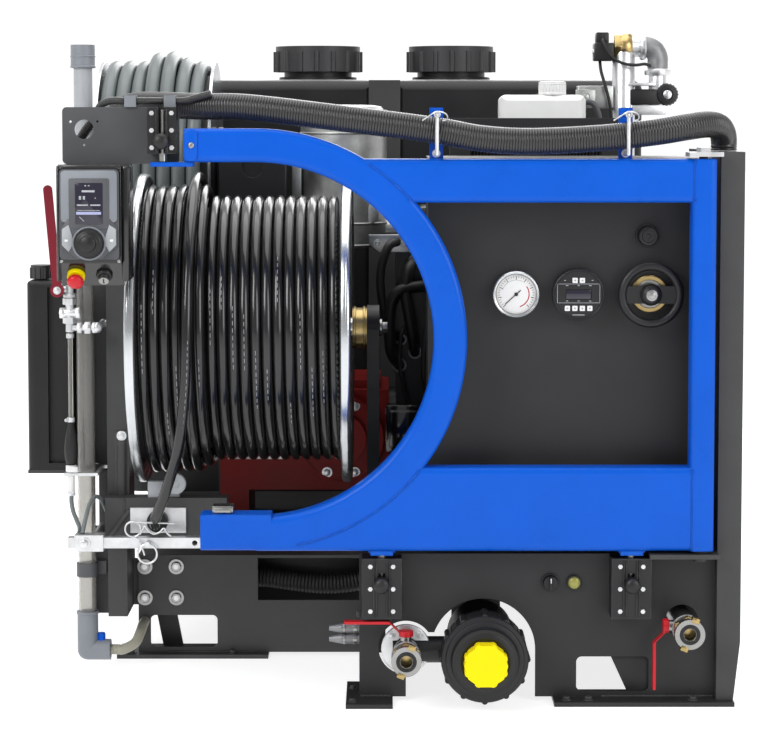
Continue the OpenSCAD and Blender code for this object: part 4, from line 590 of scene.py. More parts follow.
def ribbed(name: str, path: Sequence[Point], r: float, depth: float, pitch: float, body: str, finish: Finish,
           sides: int = 24) -> bpy.types.Object:
    """Make a corrugated hose along a path, with rings raised on its wall.

    Args:
        name: The piece's name.
        path: Its points, in millimetres.
        r: Its outer radius.
        depth: How deep its grooves are.
        pitch: Distance between its rings.
        body: The body it moves with.
        finish: Its finish.
        sides: Number of sides round.

    Returns:
        The new object.
    """
    guide = track(name + "_guide", [path], 0.0)
    bpy.context.scene.collection.objects.link(guide)
    count = max(4, int(length_of(path) * PER_METRE / pitch))
    step = length_of(path) * PER_METRE / count
    profile = [(0.0, 0.0)]
    for i in range(count):
        for share, drop in RIB:
            profile.append((r - depth * drop, (i + share) * step))
    profile += [(r - depth, count * step), (0.0, count * step)]
    shape = Shape()
    shape.lathe((0.0, FRONT_Y, 0.0), Axis.X, profile, sides)
    mesh = bpy.data.meshes.new(name)
    shape.bm.to_mesh(mesh)
    shape.bm.free()
    obj = bpy.data.objects.new(name, mesh)
    bpy.context.scene.collection.objects.link(obj)
    bend = obj.modifiers.new("bend", "CURVE")
    bend.object = guide
    bend.deform_axis = "POS_X"
    bpy.context.view_layer.update()
    bent = bpy.data.meshes.new_from_object(obj.evaluated_get(bpy.context.evaluated_depsgraph_get()))
    obj.modifiers.clear()
    obj.data = bent
    bpy.data.objects.remove(guide)
    return dress(obj, body, finish, angle=60.0)


def bead(name: str, path: Sequence[Point], r: float, body: str, finish: Finish) -> bpy.types.Object:
    """Make a weld bead with its row of small ripples along a path, and give it."""
    return ribbed(name, smooth(path, max(8, 3 * len(path))), r, r * 0.4, r * 1.5, body, finish, 10)


def rounded(x: Span, z: Span, r: float, steps: int = 4) -> list[Span]:
    """Give the outline of a rectangle with round corners.

    Args:
        x: Its ends across the machine.
        z: Its ends above the floor.
        r: Radius of its corners.
        steps: Number of steps in each corner.

    Returns:
        The outline's points in X and Z.
    """
    outline: list[Span] = []
    left, right, low, high = x[0] + r, x[1] - r, z[0] + r, z[1] - r
    for i, (cx, cz) in enumerate(((right, high), (left, high), (left, low), (right, low))):
        for k in range(steps + 1):
            a = math.pi / 2 * (i + k / steps)
            outline.append((cx + r * math.cos(a), cz + r * math.sin(a)))
    return outline


def on_circle(cx: float, cz: float, r: float, start: float, end: float, count: int) -> list[Span]:
    """Give points of X and Z on an arc between two angles in degrees."""
    angles = [math.radians(start + (end - start) * i / (count - 1)) for i in range(count)]
    return [(cx + r * math.cos(a), cz + r * math.sin(a)) for a in angles]


def spread(c: Point, r: float, count: int, start: float = 0.0) -> list[Point]:
    """Spread places evenly round a point, in X and Z.

    Args:
        c: The point.
        r: Their distance from it.
        count: How many there are.
        start: How far the first is past the right, in steps.

    Returns:
        The places.
    """
    angles = [math.tau * (i + start) / count for i in range(count)]
    return [(c[0] + r * math.cos(a), c[1], c[2] + r * math.sin(a)) for a in angles]


@dataclass
class Studio:
    """Pale floor, soft light and the camera at the photograph's angle."""

    lens: float = 109.23
    sensor: float = 36.0
    shift: float = -0.12
    tilt: float = 86.0
    camera_y: float = -4200.0
    camera_z: float = 1065.0
    floor_half: float = 40.0
    floor_tone: float = 0.4
    floor_glow: float = 0.8
    sky: tuple[float, float, float, float] = (-0.3, 0.5, 0.4, 1.05)
    lamps: list[tuple[str, Point, Point, float, float]] = field(default_factory=lambda: [
        ("key", (-2600.0, -2600.0, 3000.0), (0.0, 300.0, 600.0), 2.2, 105.0),
        ("fill", (2800.0, -2400.0, 2000.0), (0.0, 300.0, 600.0), 2.4, 66.0),
        ("top", (0.0, 500.0, 3600.0), (0.0, 400.0, 600.0), 3.2, 66.0),
        ("back", (600.0, 4200.0, 2600.0), (0.0, 700.0, 700.0), 2.6, 64.0),
    ])

    def light(self) -> None:
        """Make the sky, darker in front of the machine, and the soft lamps."""
        world = bpy.data.worlds.new("studio")
        world.use_nodes = True
        nodes, links = world.node_tree.nodes, world.node_tree.links
        way = nodes.new("ShaderNodeSeparateXYZ")
        links.new(nodes.new("ShaderNodeTexCoord").outputs["Generated"], way.inputs[0])
        grade = nodes.new("ShaderNodeMapRange")
        for number, value in zip((1, 2, 3, 4), self.sky):
            grade.inputs[number].default_value = value
        links.new(way.outputs["Y"], grade.inputs[0])
        links.new(grade.outputs[0], nodes["Background"].inputs["Color"])
        bpy.context.scene.world = world
        for name, place, aim, size, power in self.lamps:
            lamp = bpy.data.lights.new(name, "AREA")
            lamp.shape, lamp.size, lamp.energy = "SQUARE", size, power
            obj = bpy.data.objects.new(name, lamp)
            obj.location = at(*place)
            obj.rotation_euler = (at(*aim) - at(*place)).to_track_quat("-Z", "Y").to_euler()
            bpy.context.scene.collection.objects.link(obj)

    def floor(self) -> None:
        """Make the plain pale floor."""
        mesh = bpy.data.meshes.new("floor")
        bm = bmesh.new()
        bmesh.ops.create_grid(bm, x_segments=2, y_segments=2, size=self.floor_half)
        bm.to_mesh(mesh)
        bm.free()
        floor = bpy.data.objects.new("floor", mesh)
        bpy.context.scene.collection.objects.link(floor)
        g = Graph("pale_floor")
        g.shader.inputs["Base Color"].default_value = (self.floor_tone, self.floor_tone, self.floor_tone, 1)
        g.shader.inputs["Emission Color"].default_value = (1, 1, 1, 1)
        g.shader.inputs["Emission Strength"].default_value = self.floor_glow
        g.feed(g.span(g.noise(2.0), (0.3, 0.7), (0.55, 0.65)), "Roughness")
        mesh.materials.append(g.material)

    def camera(self) -> None:
        """Set the camera at the photograph's angle."""
        data = bpy.data.cameras.new("photo_camera")
        data.lens, data.sensor_width, data.shift_y = self.lens, self.sensor, self.shift
        camera = bpy.data.objects.new("photo_camera", data)
        camera.location = at(0.0, self.camera_y, self.camera_z)
        camera.rotation_euler = (math.radians(self.tilt), 0.0, 0.0)
        bpy.context.scene.collection.objects.link(camera)
        bpy.context.scene.camera = camera

    def build(self) -> None:
        """Make the light, the floor and the camera."""
        bpy.context.scene.view_settings.view_transform = "Standard"
        self.light()
        self.floor()
        self.camera()


@dataclass
class PressureReel:
    """Reel of jetting hose: the winding and the free end down to its holder."""

    axis_y: float = 330.0
    axis_z: float = 655.0
    hose_r: float = 10.0
    pitch: float = 20.7
    start_x: float = -82.6
    low_r: float = 247.0
    high_r: float = 269.0
    low_turns: int = 12
    turns: int = 18
    per_turn: int = 40
    sag: float = 2.2
    play: float = 0.7
    mark_sink: float = 0.2
    flanges: tuple[tuple[float, Axis], ...] = ((-472.0, Axis.X), (-66.0, Axis.LEFT))
    slack: list[float] = field(init=False)
    route: list[Point] = field(default_factory=lambda: [
        (-361, 536, 862), (-361, 450, 922), (-361, 390, 942), (-361, 330, 948), (-361, 270, 942),
        (-361, 210, 922), (-361, 124, 862), (-361, 76, 801), (-361, 47, 730), (-362, 37, 655),
        (-366, 38, 560), (-378, 46, 460), (-402, 66, 380), (-424, 98, 324), (-431, 140, 300),
        (-431, 180, 298)])

    def __post_init__(self) -> None:
        """Draw how slack each turn lies."""
        rng = random.Random(7)
        self.slack = [rng.uniform(0.0, 1.0) for _ in range(self.turns + 2)]

    def spot(self, u: float, lift: float = 0.0) -> Point:
        """Find a place on the winding: neat inner turns, then looser ones that sag below.

        Args:
            u: Turns from its start.
            lift: Distance outward from its centreline.

        Returns:
            The place, in millimetres.
        """
        k = int(u)
        ease = self.slack[k] + (self.slack[k + 1] - self.slack[k]) * (u - k)
        climb = min(1.0, max(0.0, u - self.low_turns) * 2)
        a = math.tau * u + math.pi
        droop = max(0.0, -math.sin(a)) * self.sag * ease * climb
        r = self.low_r + (self.high_r - self.low_r) * climb + droop + (self.play * ease if climb < 0.5 else 0.0) + lift
        return self.start_x - self.pitch * u, self.axis_y - r * math.cos(a), self.axis_z + r * math.sin(a)

    def marks(self, free: Sequence[Point]) -> None:
        """Make rows of plain white dashes on the hose's cover.

        Args:
            free: The free end's centreline.
        """
        rng = random.Random(3)
        out = self.hose_r - self.mark_sink
        rows: list[list[Point]] = []
        for turn in range(1, self.turns):
            start = turn + rng.uniform(0.38, 0.56)
            for i in range(rng.randint(4, 9)):
                u = start + 0.0085 * i
                rows.append([self.spot(u, out), self.spot(u + 0.005, out)])
        lines("winding_dashes", rows, 0.65, "pressure_reel", Finishes.PALE, 1)
        side = Vector((0.35, -0.9, 0.25)).normalized() * out
        ends = [(Vector(a) + side, Vector(b) - Vector(a)) for a, b in zip(free[72:96], free[73:97])]
        dashes = [[tuple(a), tuple(a + run * 0.55)] for a, run in ends]
        lines("hose_end_dashes", dashes, 0.7, "machine", Finishes.PALE, 1)

    def build(self) -> None:
        """Make the free end first, then the winding and the flanges' rolled rims."""
        path = smooth(self.route, 121)
        free = line("jetting_hose_end", path, self.hose_r, "machine", Finishes.HOSE)
        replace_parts(free, "jet_hose")
        coil = [self.spot(i / self.per_turn) for i in range(self.turns * self.per_turn + 1)]
        wound = line("jetting_hose_winding", coil, self.hose_r, "pressure_reel", Finishes.HOSE)
        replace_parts(wound, "jet_winding")
        self.marks(path)
        rims = Shape()
        rolled = [(292, 0.5), (297, 0.3), (299.6, 2), (299.8, 8), (298.4, 13), (294, 15.5), (292, 14), (292, 0.5)]
        for x, axis in self.flanges:
            rims.lathe((x, self.axis_y, self.axis_z), axis, rolled, 128)
        rims.piece("flange_rims", "pressure_reel", Finishes.REEL)


@dataclass
class Pipework:
    """Corrugated conduits over the gate, and the drain hose."""

    conduit: list[Point] = field(default_factory=lambda: [
        (-514, 320, 990), (-514, 320, 1010), (-514, 320, 1030), (-508, 276, 1072), (-466, 160, 1086), (-404, 66, 1086),
        (-330, 22, 1083), (-242, -8, 1081), (-62, -32, 1060), (93, -37, 1040), (172, -37, 1026), (262, -37, 1021),
        (388, -37, 1027), (480, -35, 1037), (538, -22, 1046), (580, 4, 1051), (604, 34, 1047), (616.5, 60, 1034),
        (620.4, 72, 1019), (620.4, 72, 1011), (620.4, 72, 1003)])
    small: list[Point] = field(default_factory=lambda: [
        (-519, 16, 980), (-519, 16, 1000), (-519, 16, 1020), (-517, 16, 1074), (-498, 9, 1092), (-456, 3, 1093),
        (-364, 3, 1093), (-340, -2, 1098), (-310, -9, 1106)])
    drain: list[Point] = field(default_factory=lambda: [
        (-530, 258, 36), (-518, 258, 36), (-506, 258, 36), (-484, 270, 46), (-476, 292, 62), (-474, 315, 70),
        (-474, 335, 70), (-474, 355, 70)])

    def build(self) -> None:
        """Make the conduits and the drain hose."""
        main = ribbed("main_conduit_cover", smooth(self.conduit, 160), 24.0, 1.6, 5.0, "machine", Finishes.CONDUIT)
        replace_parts(main, "main_conduit")
        thin = ribbed("small_conduit_cover", smooth(self.small, 60), 7.0, 0.8, 3.0, "machine", Finishes.CONDUIT, 16)
        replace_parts(thin, "small_conduit")
        drain = ribbed("drain_hose_cover", smooth(self.drain, 50), 10.0, 0.7, 4.5, "machine", Finishes.BEIGE, 20)
        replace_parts(drain, "drain_hose")


@dataclass
class FillReel:
    """Reel of grey fill hose in loose loops."""

    axis_y: float = 860.0
    axis_z: float = 982.0
    hose_r: float = 15.0
    pitch: float = 30.8
    turns: float = 6.5
    start_x: float = -584.1
    wind_r: float = 190.0
    tops: tuple[float, ...] = (188.0, 189.0, 188.0, 206.0, 209.0, 196.0, 188.0)
    per_turn: int = 40

    def build(self) -> None:
        """Make the winding, each loop as loose over the top as in use."""
        path: list[Point] = []
        for i in range(int(self.turns * self.per_turn) + 1):
            u = i / self.per_turn
            a = math.tau * u
            r = self.wind_r + (self.tops[int(u)] - self.wind_r) * max(0.0, math.sin(a))
            path.append((self.start_x + self.pitch * u, self.axis_y - r * math.cos(a), self.axis_z + r * math.sin(a)))
        wound = line("fill_hose_loops", path, self.hose_r, "fill_drum", Finishes.FILL_HOSE, 6)
        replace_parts(wound, "fill_hose_winding")


@dataclass
class ControlHead:
    """Display, knob, stop button and lock on the control box, and the hose behind its plate."""

    mid_x: float = -523.0
    face_y: float = -72.0
    knob_z: float = 841.0
    slope_y: float = -38.5
    slope_z: float = 783.5
    stop_x: float = -551.0
    lock_x: float = -500.6
    vent: list[Point] = field(default_factory=lambda: [
        (-566, 22, 948), (-566, 36, 952), (-565, 42, 975), (-558, 38, 1010), (-541, 34, 1040), (-522, 36, 1062),
        (-512, 60, 1068), (-512, 110, 1052), (-518, 180, 1024), (-522, 236, 1006), (-523, 262, 996), (-523, 268, 990)])

    def display(self) -> None:
        """Make the display's stepped frame, screen and readout."""
        m, y = self.mid_x, self.face_y
        shape = Shape()
        shape.prism(rounded((m - 50, m + 50), (878, 970), 7), (y - 3, y), 1.2)
        shape.prism(rounded((m - 35, m + 36), (866, 956), 4), (y - 5, y - 3), 1.0, 4)
        shape.prism(rounded((m - 24, m + 25), (875, 948), 2), (y - 5.6, y - 5), 0.2, 1)
        bars = [(-7, -4, 942, 944, 2), (-1, 2, 942, 944, 2), (-12, 11, 931.5, 935, 2), (-17, -13, 918.5, 925, 2),
                (-10, -6, 918.5, 925, 2), (11, 13, 920, 922, 2), (-21, -1, 907.5, 910, 2), (3, 21, 907.5, 910, 2),
                (-22, 22, 892, 897, 3), (-20, 20, 899, 900, 2)]
        for x0, x1, z0, z1, number in bars:
            shape.box((m + x0, m + x1), (y - 6.0, y - 5.5), (z0, z1), 0.2, number)
        shape.box((m - 13, m - 11.6), (y - 6.0, y - 5.5), (878, 890), 0.2, 2, Matrix.Rotation(-0.8, 4, "Y"))
        shape.piece("display_frame", "machine", Finishes.GREY, Finishes.SCREEN, Finishes.PALE, Finishes.READOUT,
                    Finishes.SLATE)

    def knob_plate(self) -> None:
        """Make the eight-sided plate round the knob, its side keys and the small button."""
        m, y = self.mid_x, self.face_y
        outline = [(m - 50, 868), (m - 38, 884), (m + 38, 884), (m + 50, 868), (m + 50, 836), (m + 22, 813),
                   (m - 22, 813), (m - 50, 836)]
        shape = Shape().prism(outline, (y - 4, y), 1.4)
        for side in (-1, 1):
            wing = [(m + side * 48, 866), (m + side * 36, 874), (m + side * 29, 852), (m + side * 29, 838),
                    (m + side * 36, 826), (m + side * 48, 838)]
            shape.prism(wing, (y - 5.4, y - 3.8), 0.6, 1)
            shape.box((m + side * 40 - 3, m + side * 40 + 3), (y - 5.8, y - 5.2), (844, 848), 0.3, 2)
        surround = [(26.6, 0), (30.5, 0), (30, 1.6), (27.4, 2.2), (26.6, 1.4)]
        shape.lathe((m, y - 4, self.knob_z), Axis.FRONT, surround, 64, 3)
        shape.lathe((m, y - 4, 818), Axis.FRONT, [(4.6, 0), (4.4, 1.4), (2.8, 2.4), (0, 2.7)], 32, 4)
        shape.piece("knob_plate", "machine", Finishes.SLATE, Finishes.PALE, Finishes.WHITE, Finishes.GREY,
                    Finishes.BLACK)
        grip = Shape().lathe((m, y - 0.6, self.knob_z), Axis.FRONT, [
            (23, 0), (25.4, 0.6), (25.6, 3), (25.2, 13), (23.4, 17.4), (20, 18.6), (15.6, 18.9), (14.6, 20),
            (14.3, 24.8), (12.6, 26.2), (0, 26.6)], 72)
        grip.piece("display_knob_grip", "display_knob", Finishes.BLACK, angle=50.0)

    def buttons(self) -> None:
        """Make the mushroom head of the stop, the lock's bezel and the box's screws."""
        stop = (self.stop_x, self.slope_y, self.slope_z)
        Shape().lathe(stop, Axis.SLOPE, [(9.2, 13.7), (14.2, 13.9), (15, 16.4), (14.7, 19.6), (12.6, 23.6), (9, 25.6),
                                         (4, 26.4), (0, 26.6)], 48).piece("stop_head", "stop", Finishes.RED_GRIP)
        lock = (self.lock_x, self.slope_y, self.slope_z)
        rim = [(13.1, 0), (14.6, 0.4), (14.8, 4), (13.4, 6.2), (10.4, 6.8), (9.5, 6.2)]
        ring = Shape().lathe(lock, Axis.SLOPE, rim, 48)
        ring.piece("lock_bezel", "machine", Finishes.BLACK)
        screws = Shape()
        for x in (-574.5, -471.5):
            for z in (975.5, 809.0):
                screws.screw((x, -60, z), Axis.FRONT, 3.4, 2.4)
        screws.piece("box_screws", "machine", Finishes.ZINC)
        trim = Shape()
        for x in (-578.6, -468.0):
            trim.box((x - 0.4, x + 1.4), (-69, -60), (806, 977), 0.9)
        trim.box((-578, -468), (-66, -60), (974, 979), 1.2)
        trim.box((-467.5, -454), (-58, 20), (772, 978), 5.0)
        trim.box((-583, -578.5), (-58, 20), (772, 978), 2.0)
        trim.piece("box_trim", "machine", Finishes.GLOSS)

    def build(self) -> None:
        """Make all of the control head's pieces."""
        self.display()
        self.knob_plate()
        self.buttons()
        ribbed("vent_hose", smooth(self.vent, 90), 9.0, 1.2, 4.0, "machine", Finishes.CONDUIT, 18)
        cable = [(-505, 22, 800), (-500, 40, 790), (-498, 70, 770), (-500, 130, 758), (-508, 200, 760),
                 (-514, 250, 764)]
        line("box_cable", smooth(cable, 40), 4.0, "machine", Finishes.RUBBER)


@dataclass
class Gate:
    """Weld beads, end cap, catch plate and spring pins of the guard gate."""

    ring_x: float = -231.0
    ring_z: float = 665.0
    weld_r: float = 375.0
    front_y: float = -53.0
    post_x: float = 551.0
    cradles: tuple[float, float] = (93.0, 432.0)

    def welds(self) -> None:
        """Run beads where the rails meet the ring and the post."""
        for name, start, end in (("upper", 42.0, 57.5), ("lower", -38.5, -79.0)):
            arc = on_circle(self.ring_x, self.ring_z, self.weld_r, start, end, 24)
            bead(f"ring_weld_{name}", [(x, self.front_y + 0.6, z) for x, z in arc], 2.8, "gate", Finishes.BLUE)
        for name, low, high in (("upper", 915.0, 987.0), ("lower", 288.0, 434.0)):
            run = [(self.post_x, self.front_y + 0.6, low + (high - low) * i / 9) for i in range(10)]
            bead(f"post_weld_{name}", run, 2.2, "gate", Finishes.BLUE)
        for x in (-5.0, 445.0):
            run = [(x - 24 + 48 * i / 9, self.front_y + 8.0, 284.2) for i in range(10)]
            bead(f"lug_weld_{'mid' if x < 0 else 'right'}", run, 2.4, "gate", Finishes.BLUE)

    def build(self) -> None:
        """Make the gate's pieces."""
        self.welds()
        cap = Shape().prism(rounded((-356.5, -332), (985.5, 1042.5), 8), (self.front_y - 3, self.front_y + 6), 2.0)
        cap.screw((-343, self.front_y - 3, 1014), Axis.FRONT, 5.5, 3.0, 1)
        cap.piece("tail_end_cap", "gate", Finishes.BLUE, Finishes.STEEL)
        catch = Shape().box((-310, -272), (-44, -10), (352, 366), 1.6)
        catch.box((-306, -276), (-47, -43), (354, 362), 1.0)
        catch.piece("catch_plate", "gate", Finishes.STEEL)
        for number, x in enumerate(self.cradles):
            top = Shape().tube((x, -70.5, 1068.75), Axis.Y, 4, 6.2, 3.6, 24)
            top.bolt((x, -11, 999), Axis.FRONT, 5.0, 4.0)
            top.piece(f"keeper_collars_{number}", "gate", Finishes.ZINC)
            pin = [(x - 26, -60, 1058), (x - 14, -66, 1066), (x - 3, -70.5, 1073), (x + 8, -69, 1073),
                   (x + 17, -62, 1068), (x + 18, -55, 1060), (x + 10, -52, 1057)]
            line(f"keeper_pin_{number}", smooth(pin, 40), 1.3, "gate", Finishes.ZINC, 3)


@dataclass
class Latches:
    """Guide ribs and knobs of the three slide latches."""

    face_y: float = -46.0
    knob_y: float = -67.0
    places: tuple[tuple[str, float, float, float, float, tuple[float, ...]], ...] = (
        ("mid", -5.0, 161.0, 271.0, 225.0, (-14.0, -9.5, 9.5, 14.0)),
        ("right", 445.0, 161.0, 271.0, 225.0, (-14.0, -9.5, 9.5, 14.0)),
        ("top", -396.0, 999.0, 1082.0, 1021.0, (-9.5, 9.5)))

    def build(self) -> None:
        """Make each latch's ribs and its knob's domed cap."""
        depth = (self.face_y - 3, self.face_y + 1)
        domed = [(14, -3), (14.4, -1), (14, 1.4), (11.8, 4.4), (7, 6.8), (0, 7.6)]
        for name, x, low, high, knob_z, ribs in self.places:
            guide = Shape()
            for step in ribs:
                guide.box((x + step - 1.4, x + step + 1.4), depth, (low + 4, high - 4), 0.8)
            guide.piece(f"latch_ribs_{name}", "machine", Finishes.LATCH)
            cap = Shape().lathe((x, self.knob_y + 0.4, knob_z), Axis.FRONT, domed, 48)
            cap.piece(f"latch_knob_{name}", f"bolt_{name}", Finishes.BLACK)


@dataclass
class Instruments:
    """Dial gauge, flow meter, regulator wheel and small knob on the recessed panel."""

    z: float = 742.0
    gauge_x: float = 240.0
    meter_x: float = 353.0
    wheel_x: float = 484.0
    knob_x: float = 480.0
    knob_z: float = 848.0

    def mark(self, shape: Shape, angle: float, r: float, size: Span, y: Span, material: int) -> None:
        """Add a small bar on the dial, long along the radius.

        Args:
            shape: The dial.
            angle: Its place round the dial, in degrees from the right.
            r: Radius of its middle.
            size: Width and length.
            y: Its ends in depth.
            material: Number of its material.
        """
        a = math.radians(angle)
        x, z = self.gauge_x + r * math.cos(a), self.z + r * math.sin(a)
        shape.box((x - size[0] / 2, x + size[0] / 2), y, (z - size[1] / 2, z + size[1] / 2), 0.1, material,
                  Matrix.Rotation(math.pi / 2 - a, 4, "Y"))

    def gauge(self) -> None:
        """Make the dial with its scale, red arc and needle, and the bright bezel."""
        dial = Shape().rod((self.gauge_x, 40.6, self.z), Axis.FRONT, 1.0, 35.8, sides=64, edge=0.0)
        for i in range(33):
            long = i % 4 == 0
            self.mark(dial, 225 - 270 * i / 32, 30 if long else 31.2, (1.1 if long else 0.6, 6 if long else 3.4),
                      (39.2, 39.8), 1)
        for i in range(26):
            self.mark(dial, 34 - 4.2 * i, 23.5, (2.1, 1.8), (39.2, 39.8), 2)
            self.mark(dial, 160 - 4.2 * i, 26.0, (2.1, 0.7), (39.2, 39.8), 3)
        self.mark(dial, 222, 8, (1.5, 38), (38.2, 38.9), 1)
        dial.lathe((self.gauge_x, 39.6, self.z), Axis.FRONT, [(3.4, 0), (3.4, 1.6), (2, 2.2), (0, 2.3)], 24, 1)
        dial.piece("gauge_dial", "machine", Finishes.WHITE, Finishes.BLACK, Finishes.RED_GRIP, Finishes.PALE)
        bezel = Shape().lathe((self.gauge_x, 41, self.z), Axis.FRONT, [
            (36.2, 0), (36.4, 3), (38, 7.4), (40.6, 8.2), (42.4, 6.4), (42.6, 2), (42.4, -12)], 72)
        bezel.piece("gauge_bezel", "machine", Finishes.REEL)

    def meter(self) -> None:
        """Make the flow meter's rim, display and keys."""
        x, z = self.meter_x, self.z
        face = Shape().lathe((x, 30, z), Axis.FRONT, [(43, -1), (43.4, 2), (45.2, 3.4), (47.2, 2), (47.4, -3)], 72)
        face.box((x - 22.5, x + 22.5), (32.0, 33.2), (z - 8.6, z + 8.6), 0.3, 1)
        for x0, x1, z0, z1 in ((-39, 39, 19, 20), (-39, 39, -15.5, -14.5), (-39, -38, -15.5, 20), (38, 39, -15.5, 20)):
            face.box((x + x0, x + x1), (29.3, 30.2), (z + z0, z + z1), 0.2, 3)
        for dx, dz in ((-6.6, 26), (6.6, 26), (-20.4, -25), (-6.8, -25), (6.8, -25), (20.4, -25)):
            face.prism(rounded((x + dx - 4.8, x + dx + 4.8), (z + dz - 4.8, z + dz + 4.8), 1.4), (28.6, 30.2), 0.4, 2)
            face.rod((x + dx, 28.7, z + dz), Axis.FRONT, 0.4, 1.8, sides=16, edge=0.0, material=3)
        for dx, dz, half in ((-25, 26, 1.6), (25, 26, 1.6), (-21, 16.6, 2.4), (0, 16.6, 1.8), (21, 16.6, 2.4),
                             (-21, -11.6, 2), (0, -11.6, 2), (21, -11.6, 2), (0, -37, 11)):
            face.box((x + dx - half, x + dx + half), (29.4, 30.2), (z + dz - 0.8, z + dz + 0.8), 0.2, 3)
        face.piece("meter_face", "machine", Finishes.BLACK, Finishes.SCREEN, Finishes.WHITE, Finishes.PALE)

    def wheel(self) -> None:
        """Make the wheel's hub cap and nut, and the union behind it."""
        domed = [(20, -8), (19.4, -2), (17, 3.4), (12, 7), (8, 8.2), (0, 8.4)]
        hub = Shape().lathe((self.wheel_x, 17.4, self.z), Axis.FRONT, domed, 48)
        hub.rod((self.wheel_x, 9.4, self.z), Axis.FRONT, 5.0, 7.2, sides=6, edge=0.8, material=1)
        hub.rod((self.wheel_x, 9.2, self.z), Axis.FRONT, 1.2, 10.2, sides=32, edge=0.4, material=1)
        hub.piece("wheel_hub_cap", "regulator_wheel", Finishes.BLACK, Finishes.STEEL)
        union = Shape().tube((self.wheel_x, 60, self.z), Axis.FRONT, 13, 34, 12)
        union.tube((self.wheel_x, 47.2, self.z), Axis.FRONT, 6, 26, 17.6, material=1)
        union.piece("regulator_union", "machine", Finishes.BRASS, Finishes.STEEL)

    def build(self) -> None:
        """Make all of the panel's instruments."""
        self.gauge()
        self.meter()
        self.wheel()
        base = Shape().tube((self.knob_x, 60, self.knob_z), Axis.FRONT, 5, 21.5, 18.0)
        base.piece("knob_collar", "machine", Finishes.BLACK)
        knob = Shape().lathe((self.knob_x, 36.2, self.knob_z), Axis.FRONT, [
            (17.2, -8), (17.3, -1), (16, 1.6), (12.4, 2.4), (11.4, 0.8), (4, 0.8), (3.4, 2), (0, 2.2)], 48)
        for place in spread((self.knob_x, 50, self.knob_z), 17, 16):
            knob.rod(place, Axis.FRONT, 12, 1.3, sides=10, edge=0.3)
        knob.piece("small_knob_grip", "small_knob", Finishes.BLACK)


@dataclass
class WaterFittings:
    """Filter dome and plug, hose couplings, lamp lens and switch pointer on the lower panel."""

    filter_x: float = 180.0
    filter_z: float = 94.0
    couplings: tuple[tuple[str, float, float, float], ...] = (
        ("inlet", 39.0, -113.0, 98.0), ("outlet", 542.0, -117.0, 148.0))
    lamp_x: float = 345.0
    switch_x: float = 302.0
    switch_z: float = 219.0

    def filter(self) -> None:
        """Make the filter cap's dome and the plug's lobes."""
        dome = Shape().lathe((self.filter_x, -74, self.filter_z), Axis.FRONT, [
            (78, -1), (78.6, 2), (77, 5), (71, 6.6), (69.4, 9.6), (66, 11), (62, 11.6), (60.6, 16), (58, 23), (52, 27),
            (44, 28), (42, 26.6), (39.2, 26.4)], 96)
        for place in spread((self.filter_x, -30, self.filter_z), 77.6, 36):
            dome.rod(place, Axis.FRONT, 42, 1.6, sides=8, edge=0.4)
        dome.piece("filter_dome", "filter_cap", Finishes.BLACK, angle=35.0)
        plug = Shape()
        for place in spread((self.filter_x, -101, self.filter_z), 33, 8, 0.5):
            plug.rod(place, Axis.FRONT, 28.6, 7.6, sides=24, edge=1.0)
        plug.piece("filter_plug_lobes", "filter_cap", Finishes.YELLOW)

    def couplings_dress(self) -> None:
        """Make each coupling's seal, claws and hexagon collar."""
        for name, x, y, z in self.couplings:
            shape = Shape().ring((x, y + 0.4, z), Axis.Y, 15.0, 3.6, material=1)
            shape.tube((x, y + 30, z), Axis.FRONT, 24, 12.6, 10.9, material=1)
            for turn in (1.2, 1.2 + math.pi):
                cx, cz = x + 27 * math.cos(turn), z + 27 * math.sin(turn)
                shape.box((cx - 5, cx + 5), (y - 1.5, y + 13), (cz - 7, cz + 7), 1.6, 2, Matrix.Rotation(-turn, 4, "Y"))
            shape.rod((x, y + 40, z), Axis.FRONT, 13, 27.4, sides=6, edge=1.2, material=2)
            shape.tube((x, y + 50, z), Axis.FRONT, 5, 26.6, 20)
            shape.piece(f"{name}_coupling_rings", "machine", Finishes.CAST, Finishes.RUBBER, Finishes.BRASS)
        disc = Shape().tube((39, -2, 98), Axis.FRONT, 6, 45, 22)
        for place in spread((39, -8, 98), 36, 4, 0.5):
            disc.bolt(place, Axis.FRONT, 4.2, 4)
        disc.piece("inlet_flange", "machine", Finishes.ZINC)

    def build(self) -> None:
        """Make all of the lower panel's pieces."""
        self.filter()
        self.couplings_dress()
        domed = [(11, -0.5), (11, 3), (9.4, 5.4), (5, 6.8), (0, 7.2)]
        lens = Shape().lathe((self.lamp_x, -4, self.switch_z), Axis.FRONT, domed, 48)
        lens.tube((self.lamp_x, -2, self.switch_z), Axis.FRONT, 5, 13.6, 11, material=1)
        lens.piece("lamp_lens", "machine", Finishes.LENS, Finishes.BLACK)
        x, z = self.switch_x, self.switch_z
        grip = Shape().box((x - 0.8, x + 0.8), (-21.6, -20.6), (z + 2, z + 11), 0.2)
        grip.lathe((x, -13.6, z), Axis.FRONT, [(13.2, -6), (13.2, -0.6), (12, 1), (0, 1.2)], 48, 1)
        grip.piece("selector_pointer", "selector", Finishes.WHITE, Finishes.BLACK)
        collar = Shape().tube((x, 0.0, z), Axis.FRONT, 3, 17, 13.6)
        collar.piece("selector_collar", "machine", Finishes.BLACK)


